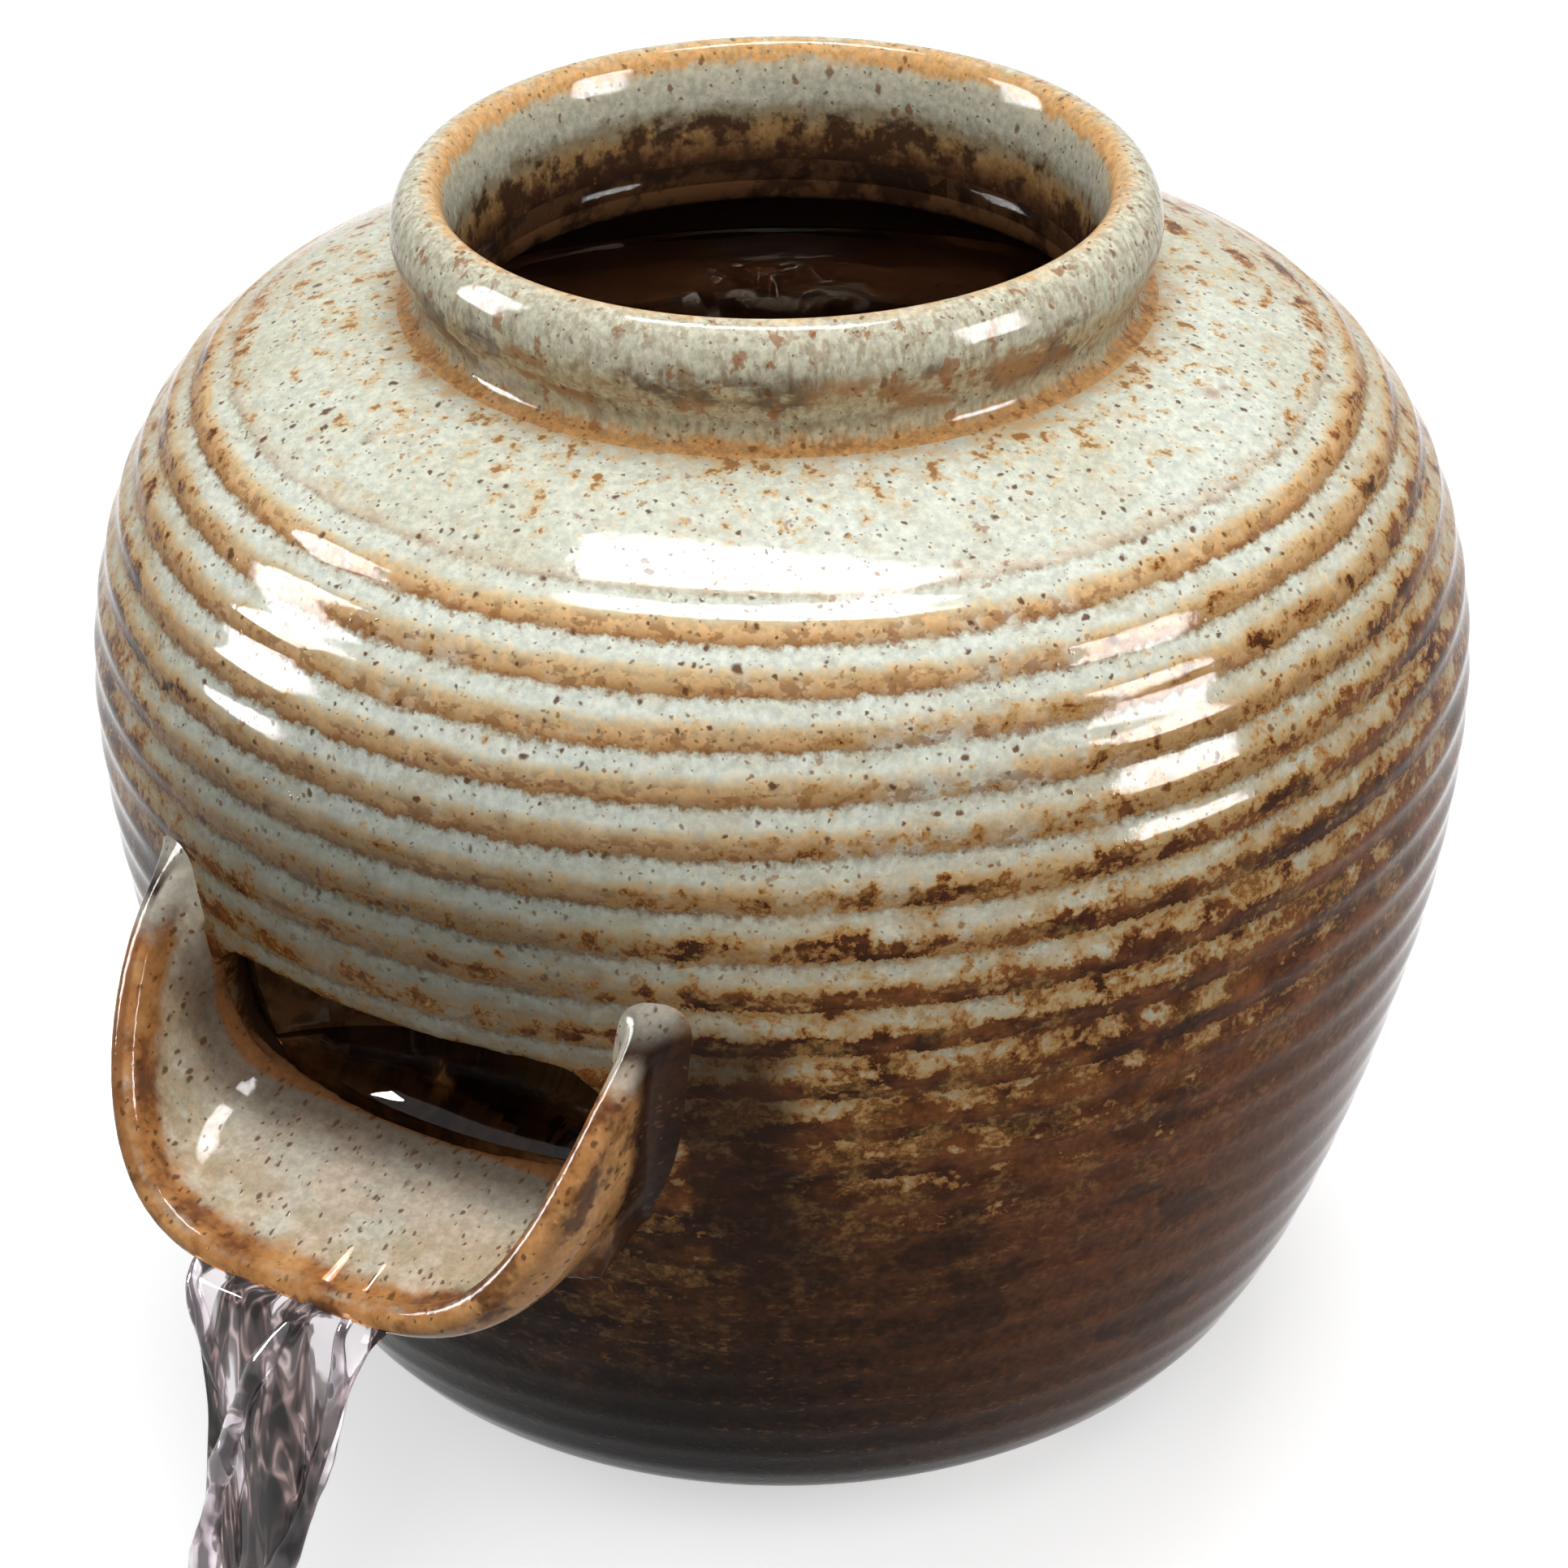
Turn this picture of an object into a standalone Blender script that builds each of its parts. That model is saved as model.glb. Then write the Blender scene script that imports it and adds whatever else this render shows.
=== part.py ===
"""Ceramic tabletop fountain: a ribbed jar with a pouring scoop, a weir inside and a pump in its foot.

Metres, +Z up, spout towards -Y. The origin is the middle of the whole piece's footprint, water included,
on the surface it stands on. Shapes are built round the jar's axis and carried by one empty on that axis.
"""
import math

import bmesh
import bpy
import numpy as np

# General
CLEARANCE = 0.0003          # gap that neighbouring pieces keep
OVERRUN = 0.002             # how far a cutter runs past what it cuts
TURN_STEPS = 44             # facets round the jar
SMALL_STEPS = 24            # facets round pump parts
FINE_STEPS = 16             # facets round pins and holes

# Jar
FOOT_RADIUS = 0.0423
FOOT_BORE_RADIUS = 0.0365
FOOT_EDGE = 0.0015
BELLY_RADIUS = 0.0799
BELLY_HEIGHT = 0.0943
NECK_RADIUS = 0.0398
NECK_BORE_RADIUS = 0.0360
NECK_HEIGHT = 0.1367
JAR_WALL = 0.0055
FLOOR_HEADROOM = 0.0048     # from the pump's top to the raised floor
FLOOR_THICKNESS = 0.006
LOWER_HEIGHT_SHARES = (0, 0.043, 0.116, 0.232, 0.376, 0.537, 0.696, 0.856, 1)
LOWER_RADIUS_SHARES = (0, 0.136, 0.375, 0.553, 0.699, 0.827, 0.928, 0.987, 1)
UPPER_HEIGHT_SHARES = (0.290, 0.550, 0.774, 0.925, 1)
UPPER_RADIUS_SHARES = (0.953, 0.845, 0.646, 0.330, 0)

# Throwing ribs, measured along the wall from the neck
RIB_START = 0.028
RIB_PITCH = 0.0058
RIB_RELIEF = 0.0007
SHOULDER_POINTS = 5
INNER_POINTS = 10
WELL_POINTS = 5

# Notches in the foot that let water and the cord through
NOTCH_WIDTH = 0.014
NOTCH_HEIGHT = 0.007
NOTCH_BEVEL = 0.002
NOTCH_ANGLES = (90, 180, 270)

# Rolled rim
RIM_RISE = 0.0139           # its top above the neck
RIM_RADIUS = 0.0436
RIM_LIP_RADIUS = 0.0374
RIM_ROLL_HEIGHT = 0.0096
RIM_LEDGE_DEPTH = 0.0056    # the inner ledge below its top
RIM_TUCK_RADIUS = 0.0405
RIM_POINTS = 12

# Pouring spout. Its depths are measured inwards from the jar's face at the trough's inner edge.
SPOUT_HALF_WIDTH = 0.0340
SPOUT_PROJECTION = 0.0202
SPOUT_ROOT_DEPTH = 0.0126
SPOUT_WALL = 0.0048
HORN_HEIGHT = 0.0872
LIP_HEIGHT = 0.0548
TROUGH_BACK_HEIGHT = 0.063
TROUGH_BACK_DEPTH = 0.0036
SPOUT_SQUARENESS_SHARE = 0.54
SPOUT_FALL_POWER = 1.5
SPOUT_ROWS = 18
SPOUT_PLAN_SHARES = (0, 0.28, 0.56, 0.78, 0.89, 0.95, 1)
SPOUT_RISE_SHARES = (0, 0, 0, 0.02, 0.16, 0.55, 1)

# Slot in the jar wall behind the spout
SLOT_HALF_WIDTH = 0.0240
SLOT_TOP_HEIGHT = 0.080
SLOT_CORNER = 0.005

# Weir wall
WEIR_CREST_HEIGHT = 0.112
WEIR_THICKNESS = 0.005
WEIR_RADIUS = 0.0385
WEIR_SETBACK = 0.0061       # how far its arc's centre lies beyond the belly

# Riser tube and grommet
RISER_RADIUS = 0.0067
RISER_WALL = 0.0015
RISER_TOP_HEIGHT = 0.084
GROMMET_WALL = 0.0025
GROMMET_FLANGE = 0.003
GROMMET_FLANGE_THICKNESS = 0.002

# Pump: its rotor axis runs along Y, and its heights follow from the impeller
PUMP_BOTTOM_HEIGHT = 0.0070
PUMP_EDGE = 0.0015
PUMP_SHOULDER = 0.002       # how far the housing is wider than the cover, each side
BASE_PLATE_THICKNESS = 0.0022
COVER_LENGTH = 0.0185
COVER_SIDE_WALL = 0.0042    # outside the seal's ring
COVER_FRONT_WALL = 0.0025
HOUSING_LENGTH = 0.022
CHAMBER_FLOOR = 0.0016
CHAMBER_ROOF = 0.0050
SEAL_RADIUS = 0.00065
SEAL_MARGIN = 0.0016        # from the chamber's wall to the middle of the seal
SEAL_SIDES = 6
SUCTION_HOLE_RADIUS = 0.0022
SUCTION_HOLE_CIRCLE = 0.0063
SUCTION_HOLES = 4
BOSS_RADIUS = 0.0032
BOSS_LENGTH = 0.0024

# Rotor
SHAFT_RADIUS = 0.0010
BUSH_RADIUS = 0.0021
BUSH_LENGTH = 0.0028
BUSH_FLOOR = 0.0008
HUB_RADIUS = 0.0030
VANE_RADIUS = 0.0082
VANE_GAP = 0.0010
VANE_THICKNESS = 0.0012
VANE_PAIRS = 3
MAGNET_RADIUS = 0.0072
MAGNET_LENGTH = 0.0155
RUNNING_GAP = 0.0005

# Flow dial
DIAL_RADIUS = 0.0090
DIAL_THICKNESS = 0.0014
DIAL_TAB_WIDTH = 0.003
DIAL_TAB_LENGTH = 0.0016

# Strainer
STRAINER_LENGTH = 0.0185
STRAINER_WALL = 0.0014
STRAINER_OVERLAP = 0.002
STRAINER_SLOTS = 6
STRAINER_SLOT_WIDTH = 0.0018
STRAINER_SLOT_MARGIN = 0.0035
SPONGE_LENGTH = 0.008
SPONGE_EDGE = 0.001

# Outlet nozzle
NOZZLE_BORE_RADIUS = 0.0038
NOZZLE_BARB_RADIUS = 0.0048
NOZZLE_STEM_RADIUS = 0.0058
NOZZLE_STEM_DEPTH = 0.0032
NOZZLE_FLANGE_RADIUS = 0.0066
NOZZLE_FLANGE_THICKNESS = 0.0016
NOZZLE_LENGTH = 0.011
NOZZLE_BARB_HEIGHT = 0.0003

# Suction cups
CUP_RADIUS = 0.0060
CUP_EDGE = 0.0010
CUP_DOME_HEIGHT = 0.0040
CUP_NECK_RADIUS = 0.0017
CUP_HOLLOW_DEPTH = 0.0016
CUP_X = 0.0125
CUP_FRONT_Y = -0.0015
CUP_REAR_Y = 0.0235

# Cord gland
GLAND_RADIUS = 0.0034
GLAND_TIP_RADIUS = 0.0024
GLAND_LENGTH = 0.0095
GLAND_SEAT_DEPTH = 0.003
GLAND_BORE_RADIUS = 0.0014
GLAND_DROP = 0.006

# Falling water
WATER_FILM = 0.0012
WATER_FILM_GAP = 0.0011
WATER_FILM_WIDTH = 0.036
WATER_LIP_WIDTH = 0.028
WATER_LIP_RISE = 0.0028
WATER_STREAM_WIDTH = 0.0095
WATER_STREAM_THICKNESS = 0.0056
WATER_DRIFT = 0.0062
WATER_SWAY = -0.0085
WATER_NARROWING_SHARE = 0.35
WATER_END_HEIGHT = 0.0008
WATER_SIDES = 12
WATER_STATIONS = 14

# The jar's outline

def catmull_rom(points, per_span):
    """A smooth curve through points, with per_span points to a span."""
    points = np.asarray(points, float)
    padded = np.vstack([2 * points[0] - points[1], points, 2 * points[-1] - points[-2]])
    curve = []
    for p0, p1, p2, p3 in zip(padded, padded[1:], padded[2:], padded[3:]):
        for t in np.linspace(0, 1, per_span, endpoint=False):
            curve.append((2 * p1 + (p2 - p0) * t + (2 * p0 - 5 * p1 + 4 * p2 - p3) * t ** 2
                          + (3 * p1 - p0 - 3 * p2 + p3) * t ** 3) / 2)
    curve.append(points[-1])
    return np.array(curve)


def jar_outline():
    """The wall's outer outline without ribs, from the neck down to the foot."""
    lower = [(FOOT_RADIUS + r * (BELLY_RADIUS - FOOT_RADIUS), h * BELLY_HEIGHT)
             for h, r in zip(LOWER_HEIGHT_SHARES, LOWER_RADIUS_SHARES)]
    upper = [(NECK_RADIUS + r * (BELLY_RADIUS - NECK_RADIUS), BELLY_HEIGHT + h * (NECK_HEIGHT - BELLY_HEIGHT))
             for h, r in zip(UPPER_HEIGHT_SHARES, UPPER_RADIUS_SHARES)]
    return catmull_rom((lower + upper)[::-1], 24)


OUTLINE = jar_outline()
OUTLINE_RUN = np.concatenate([[0], np.cumsum(np.hypot(*np.diff(OUTLINE, axis=0).T))])
OUTLINE_SLOPE = np.gradient(OUTLINE, OUTLINE_RUN, axis=0)
OUTLINE_SLOPE /= np.hypot(*OUTLINE_SLOPE.T)[:, None]


def outline_at(run, offset=0.0):
    """The point at a distance run along the wall from the neck, moved out by offset."""
    radius, height = (np.interp(run, OUTLINE_RUN, column) for column in OUTLINE.T)
    d_radius, d_height = (np.interp(run, OUTLINE_RUN, column) for column in OUTLINE_SLOPE.T)
    return radius - d_height * offset, height + d_radius * offset


def offset_outline(offset, low, high, count):
    """Points from height high to height low on the outline moved out by offset."""
    runs = np.linspace(0, OUTLINE_RUN[-1], 400)
    points = np.array([outline_at(run, offset) for run in runs])
    inside = (points[:, 1] <= high) & (points[:, 1] >= low)
    first, last = np.flatnonzero(inside)[[0, -1]]
    picks = np.linspace(runs[first], runs[last], count)
    return [outline_at(run, offset) for run in picks]


def face_radius(height):
    """The radius of the wall's outer face at a height below the belly."""
    lower = OUTLINE[::-1]
    return float(np.interp(height, lower[:, 1], lower[:, 0]))


# Derived places
COVER_FRONT_Y = -COVER_LENGTH / 2
COVER_REAR_Y = COVER_LENGTH / 2
HOUSING_FRONT_Y = COVER_REAR_Y + CLEARANCE
HOUSING_REAR_Y = HOUSING_FRONT_Y + HOUSING_LENGTH
CHAMBER_RADIUS = VANE_RADIUS + VANE_GAP
SEAL_RING_RADIUS = CHAMBER_RADIUS + SEAL_MARGIN
COVER_WIDTH = 2 * (SEAL_RING_RADIUS + COVER_SIDE_WALL)
PUMP_WIDTH = COVER_WIDTH + 2 * PUMP_SHOULDER
AXIS_HEIGHT = PUMP_BOTTOM_HEIGHT + BASE_PLATE_THICKNESS + CHAMBER_FLOOR + CHAMBER_RADIUS
PUMP_TOP_HEIGHT = AXIS_HEIGHT + CHAMBER_RADIUS + CHAMBER_ROOF
FLOOR_UNDER_HEIGHT = PUMP_TOP_HEIGHT + FLOOR_HEADROOM
FLOOR_TOP_HEIGHT = FLOOR_UNDER_HEIGHT + FLOOR_THICKNESS
RIM_HEIGHT = NECK_HEIGHT + RIM_RISE
RIM_LEDGE_HEIGHT = RIM_HEIGHT - RIM_LEDGE_DEPTH
GROMMET_BORE_RADIUS = RISER_RADIUS + CLEARANCE
GROMMET_RADIUS = GROMMET_BORE_RADIUS + GROMMET_WALL
FLOOR_HOLE_RADIUS = GROMMET_RADIUS + CLEARANCE
SPOUT_FACE_RADIUS = face_radius(TROUGH_BACK_HEIGHT)
SPOUT_REACH = SPOUT_FACE_RADIUS + SPOUT_PROJECTION
SPOUT_ROOT = SPOUT_FACE_RADIUS - SPOUT_ROOT_DEPTH
TROUGH_BACK_RADIUS = SPOUT_FACE_RADIUS - TROUGH_BACK_DEPTH
WEIR_CENTRE = BELLY_RADIUS + WEIR_SETBACK
TROUGH_SLOPE = math.atan2(TROUGH_BACK_HEIGHT - LIP_HEIGHT, SPOUT_REACH - TROUGH_BACK_RADIUS)
COVER_BOTTOM_HEIGHT = PUMP_BOTTOM_HEIGHT + BASE_PLATE_THICKNESS + CLEARANCE
SHAFT_REAR_Y = HOUSING_FRONT_Y + MAGNET_LENGTH + 2 * RUNNING_GAP + BUSH_LENGTH
BORE_DEPTH = MAGNET_LENGTH + 2 * RUNNING_GAP
ROTOR_BORE_RADIUS = SHAFT_RADIUS + CLEARANCE
CHAMBER_FRONT_Y = COVER_FRONT_Y + COVER_FRONT_WALL
BUSH_FRONT_Y = CHAMBER_FRONT_Y - BUSH_LENGTH
DIAL_REAR_Y = COVER_FRONT_Y - CLEARANCE
FRONT_REACH = SPOUT_REACH + WATER_FILM + WATER_DRIFT + WATER_STREAM_THICKNESS / 2
REAR_REACH = BELLY_RADIUS + RIB_RELIEF / 2
JAR_AXIS_Y = (FRONT_REACH - REAR_REACH) / 2


# Collections, materials and small helpers

def clear_scene():
    for item in list(bpy.data.objects):
        bpy.data.objects.remove(item, do_unlink=True)


def make_collection(name):
    made = bpy.data.collections.new(name)
    bpy.context.scene.collection.children.link(made)
    return made


def make_material(name, colour, roughness, metallic=0.0):
    made = bpy.data.materials.new(name)
    made.use_nodes = True
    shader = made.node_tree.nodes["Principled BSDF"]
    shader.inputs["Base Color"].default_value = (*colour, 1)
    shader.inputs["Roughness"].default_value = roughness
    shader.inputs["Metallic"].default_value = metallic
    made.diffuse_color = (*colour, 1)
    return made


clear_scene()
PARTS = make_collection("ceramic_tabletop_fountain")
CUTTERS = make_collection("cutters")
JAR_AXIS = bpy.data.objects.new("jar_axis", None)
JAR_AXIS.location.y = JAR_AXIS_Y
PARTS.objects.link(JAR_AXIS)

GLAZE = ((0.42, 0.30, 0.16), 0.25)
RIM_GLAZE = ((0.50, 0.50, 0.36), 0.22)
SPOUT_GLAZE = ((0.16, 0.09, 0.05), 0.25)
CLAY = ((0.20, 0.13, 0.08), 0.6)
RUBBER = ((0.03, 0.03, 0.03), 0.7)
BLACK_PLASTIC = ((0.02, 0.02, 0.022), 0.35)
GREY_PLASTIC = ((0.10, 0.10, 0.11), 0.4)
CLEAR_VINYL = ((0.70, 0.74, 0.74), 0.15)
SPONGE = ((0.05, 0.05, 0.06), 0.95)
SHAFT_CERAMIC = ((0.85, 0.84, 0.80), 0.2)
MAGNET = ((0.06, 0.06, 0.065), 0.35)
WATER = ((0.75, 0.78, 0.80), 0.05)


def add_part(name, mesh, look):
    made = bpy.data.objects.new(name, mesh)
    mesh.materials.append(make_material(name, *look))
    made.parent = JAR_AXIS
    PARTS.objects.link(made)
    return made


def add_cutter(name, mesh):
    made = bpy.data.objects.new(name, mesh)
    made.hide_render = True
    made.display_type = "WIRE"
    made.parent = JAR_AXIS
    CUTTERS.objects.link(made)
    return made


def add_piece(name, mesh, look):
    """A part where a look is given, otherwise a cutter."""
    return add_part(name, mesh, look) if look else add_cutter(name, mesh)


def mesh_from(name, build):
    made = bpy.data.meshes.new(name)
    shape = bmesh.new()
    build(shape)
    shape.to_mesh(made)
    shape.free()
    return made


def smooth(item, angle=math.radians(35)):
    item.data.shade_smooth()
    item.data.set_sharp_from_angle(angle=angle)
    return item


def boolean(target, tool, operation="DIFFERENCE"):
    made = target.modifiers.new(f"{operation.lower()} {tool.name}", "BOOLEAN")
    made.operation = operation
    made.object = tool
    made.solver = "EXACT"
    return made


def bevel(item, width, segments=2):
    made = item.modifiers.new("edges", "BEVEL")
    made.width = width
    made.segments = segments
    made.limit_method = "ANGLE"
    return made


def box(name, size, centre, look=None, edge=0.0):
    def build(shape):
        bmesh.ops.create_cube(shape, size=1)
        bmesh.ops.scale(shape, vec=size, verts=shape.verts)

    made = add_piece(name, mesh_from(name, build), look)
    made.location = centre
    if edge:
        bevel(made, edge)
    return made


def span_box(name, low, high, look=None, edge=0.0):
    """A box between two opposite corners."""
    size = [b - a for a, b in zip(low, high)]
    centre = [(a + b) / 2 for a, b in zip(low, high)]
    return box(name, size, centre, look, edge)


def cylinder(name, radius, start, end, look=None, steps=SMALL_STEPS, tip_radius=None):
    """A cylinder or cone between two points on a line along Y or Z."""
    axis = [b - a for a, b in zip(start, end)]
    depth = max(map(abs, axis))

    def build(shape):
        bmesh.ops.create_cone(shape, cap_ends=True, segments=steps, radius1=radius,
                              radius2=radius if tip_radius is None else tip_radius, depth=depth)

    made = add_piece(name, mesh_from(name, build), look)
    made.location = [(a + b) / 2 for a, b in zip(start, end)]
    if abs(axis[1]) == depth:
        made.rotation_euler.x = -math.pi / 2
    return smooth(made) if look else made


def turned(name, profile, look=None, steps=TURN_STEPS):
    """An outline of (radius, height) points turned round Z, given down its outer side.

    It is closed to a ring, unless its first point lies on the axis, where it then ends too.
    """
    mesh = bpy.data.meshes.new(name)
    count = len(profile)
    edges = count - 1 if profile[0][0] == 0 else count
    mesh.from_pydata([(r, 0, z) for r, z in profile], [(i, (i + 1) % count) for i in range(edges)], [])
    made = add_piece(name, mesh, look)
    turn = made.modifiers.new("turn", "SCREW")
    turn.steps = turn.render_steps = steps
    turn.use_merge_vertices = True
    turn.merge_threshold = 0.00001
    turn.use_smooth_shade = True
    return made


# The jar's profile

def ribbed_outline():
    """The outer outline with its ribs, from the neck to the foot."""
    points = [outline_at(run) for run in np.linspace(0, RIB_START - RIB_PITCH / 2, SHOULDER_POINTS)]
    run = RIB_START
    crest = True
    while run < OUTLINE_RUN[-1] - RIB_PITCH / 4:
        points.append(outline_at(run, RIB_RELIEF / 2 if crest else -RIB_RELIEF / 2))
        run += RIB_PITCH / 2
        crest = not crest
    return points


def jar_inner_outline(offset=0.0):
    """The chamber's wall from the neck bore down to the floor."""
    return offset_outline(-JAR_WALL - offset, FLOOR_TOP_HEIGHT, NECK_HEIGHT - JAR_WALL * 1.15, INNER_POINTS)


def make_jar():
    inner = jar_inner_outline()
    well = offset_outline(-JAR_WALL, FOOT_EDGE, FLOOR_UNDER_HEIGHT, WELL_POINTS)
    profile = ribbed_outline()
    profile += [(FOOT_RADIUS, FOOT_EDGE), (FOOT_RADIUS - FOOT_EDGE, 0), (FOOT_BORE_RADIUS, 0)]
    profile += [point for point in reversed(well) if point[0] > FOOT_BORE_RADIUS]
    profile += [(FLOOR_HOLE_RADIUS, FLOOR_UNDER_HEIGHT), (FLOOR_HOLE_RADIUS, FLOOR_TOP_HEIGHT)]
    profile += list(reversed(inner))
    profile += [(NECK_BORE_RADIUS, NECK_HEIGHT - JAR_WALL), (NECK_BORE_RADIUS, NECK_HEIGHT)]
    jar = turned("jar_body", profile, GLAZE)
    for angle in NOTCH_ANGLES:
        boolean(jar, notch_cutter(angle))
    boolean(jar, slot_cutter())
    boolean(jar, tongue("slot floor cutter", CLEARANCE))
    return jar


def notch_cutter(angle):
    """A notch through the foot wall, angle in degrees from the spout's side towards +X."""
    low, high = FOOT_BORE_RADIUS - OVERRUN, BELLY_RADIUS
    made = box(f"foot notch {angle}", (NOTCH_WIDTH, high - low, 2 * NOTCH_HEIGHT), (0, 0, 0),
               edge=NOTCH_BEVEL)
    turn = math.radians(angle)
    reach = (low + high) / 2
    made.location = (reach * math.sin(turn), -reach * math.cos(turn), 0)
    made.rotation_euler.z = turn
    return made


def slot_cutter():
    inner_radius = SPOUT_FACE_RADIUS - JAR_WALL
    depth = math.sqrt(inner_radius ** 2 - SLOT_HALF_WIDTH ** 2) - 2 * OVERRUN
    low = (-SLOT_HALF_WIDTH, -BELLY_RADIUS - OVERRUN, TROUGH_BACK_HEIGHT - SPOUT_WALL)
    high = (SLOT_HALF_WIDTH, -depth, SLOT_TOP_HEIGHT)
    return span_box("slot cutter", low, high, edge=SLOT_CORNER)


# Rim

def make_rim():
    centre_radius = (RIM_RADIUS + RIM_LIP_RADIUS) / 2
    half_width = (RIM_RADIUS - RIM_LIP_RADIUS) / 2
    half_height = RIM_ROLL_HEIGHT / 2
    centre_height = RIM_HEIGHT - half_height
    foot = NECK_HEIGHT + CLEARANCE
    roll = [(centre_radius + half_width * math.cos(turn), centre_height + half_height * math.sin(turn))
            for turn in np.linspace(math.pi, -math.pi * 0.42, RIM_POINTS)]
    profile = roll + [(RIM_TUCK_RADIUS, RIM_HEIGHT - RIM_ROLL_HEIGHT), (NECK_RADIUS, foot),
                      (NECK_BORE_RADIUS, foot), (NECK_BORE_RADIUS, RIM_LEDGE_HEIGHT)]
    return turned("rolled_rim", profile, RIM_GLAZE)


# Spout

def trough_height(reach):
    """Height of the trough's floor at a distance reach from the jar's axis."""
    return TROUGH_BACK_HEIGHT - (reach - TROUGH_BACK_RADIUS) * math.tan(TROUGH_SLOPE)


def spout_rim(turn):
    """Plan place and height of the spout's rim; turn runs from -90 to 90 degrees, 0 at the lip."""
    across = SPOUT_HALF_WIDTH * math.copysign(abs(math.sin(turn)) ** SPOUT_SQUARENESS_SHARE, turn)
    out_share = abs(math.cos(turn)) ** SPOUT_SQUARENESS_SHARE
    reach = SPOUT_ROOT + (SPOUT_REACH - SPOUT_ROOT) * out_share
    wall_share = max(0, (reach - TROUGH_BACK_RADIUS) / (SPOUT_REACH - TROUGH_BACK_RADIUS))
    height = HORN_HEIGHT - (HORN_HEIGHT - LIP_HEIGHT) * wall_share ** SPOUT_FALL_POWER
    return across, reach, height


def make_spout():
    """An open scoop surface with a wall, cut back to the jar and joined to a tongue through the slot."""
    points, faces = [], []
    columns = len(SPOUT_PLAN_SHARES)
    turns = np.linspace(-math.pi / 2, math.pi / 2, SPOUT_ROWS)
    for turn in turns:
        across, reach, top = spout_rim(turn)
        for plan_share, rise_share in zip(SPOUT_PLAN_SHARES, SPOUT_RISE_SHARES):
            place = SPOUT_ROOT + (reach - SPOUT_ROOT) * plan_share
            floor = trough_height(place) - SPOUT_WALL
            points.append((across * plan_share, -place, floor + (top - floor) * rise_share))
    for row in range(SPOUT_ROWS - 1):
        for column in range(columns - 1):
            a = row * columns + column
            faces.append((a, a + columns, a + columns + 1, a + 1))
    mesh = bpy.data.meshes.new("pouring_spout")
    mesh.from_pydata(points, [], faces)
    shape = bmesh.new()
    shape.from_mesh(mesh)
    bmesh.ops.remove_doubles(shape, verts=shape.verts, dist=0.00001)
    shape.to_mesh(mesh)
    shape.free()
    spout = add_part("pouring_spout", mesh, SPOUT_GLAZE)
    shell = spout.modifiers.new("wall", "SOLIDIFY")
    shell.thickness = SPOUT_WALL
    shell.offset = -1
    rounding = spout.modifiers.new("rounding", "SUBSURF")
    rounding.levels = rounding.render_levels = 1
    boolean(spout, wall_cutter())
    boolean(spout, tongue("tongue", 0), "UNION")
    smooth(spout)
    return spout


def wall_cutter():
    """The jar as one solid, larger by the clearance, which cuts the spout's back."""
    outer = offset_outline(RIB_RELIEF / 2 + CLEARANCE, FLOOR_UNDER_HEIGHT, NECK_HEIGHT - JAR_WALL, 24)
    core = NECK_BORE_RADIUS
    return turned("jar wall cutter", outer + [(core, outer[-1][1]), (core, outer[0][1])])


def tongue(name, grow):
    """The trough's floor where it passes through the slot to the inner face of the wall."""
    length = (BELLY_RADIUS + SPOUT_WALL - TROUGH_BACK_RADIUS + JAR_WALL) / math.cos(TROUGH_SLOPE)
    width = 2 * (SLOT_HALF_WIDTH - CLEARANCE)
    middle = TROUGH_BACK_RADIUS + (BELLY_RADIUS + SPOUT_WALL - TROUGH_BACK_RADIUS - JAR_WALL) / 2
    made = box(name, (width + 2 * grow, length + 2 * grow, SPOUT_WALL + 2 * grow), (0, 0, 0))
    drop = SPOUT_WALL / 2 / math.cos(TROUGH_SLOPE)
    made.location = (0, -middle, trough_height(middle) - drop)
    made.rotation_euler.x = TROUGH_SLOPE
    if not grow:
        boolean(made, cylinder("tongue end cutter", TROUGH_BACK_RADIUS, (0, 0, 0), (0, 0, HORN_HEIGHT),
                               steps=TURN_STEPS))
    return made


# Weir

def make_weir():
    """A curved partition on the floor, trimmed to the inside of the wall."""
    base = FLOOR_TOP_HEIGHT + CLEARANCE
    foot, top = (0, -WEIR_CENTRE, base), (0, -WEIR_CENTRE, WEIR_CREST_HEIGHT)
    weir = cylinder("weir_wall", WEIR_RADIUS, foot, top, CLAY, steps=TURN_STEPS)
    hollow = cylinder("weir hollow", WEIR_RADIUS - WEIR_THICKNESS, (0, -WEIR_CENTRE, 0),
                      (0, -WEIR_CENTRE, NECK_HEIGHT), steps=TURN_STEPS)
    boolean(weir, hollow)
    inner = jar_inner_outline(CLEARANCE)
    core = FLOOR_HOLE_RADIUS
    chamber = turned("chamber", inner + [(core, inner[-1][1]), (core, inner[0][1])])
    boolean(weir, chamber, "INTERSECT")
    return weir


# Riser tube and grommet

def make_riser():
    low = PUMP_TOP_HEIGHT + CLEARANCE + NOZZLE_FLANGE_THICKNESS + CLEARANCE
    bore = RISER_RADIUS - RISER_WALL
    profile = [(RISER_RADIUS, RISER_TOP_HEIGHT), (RISER_RADIUS, low), (bore, low), (bore, RISER_TOP_HEIGHT)]
    return turned("riser_tube", profile, CLEAR_VINYL, SMALL_STEPS)


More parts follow.
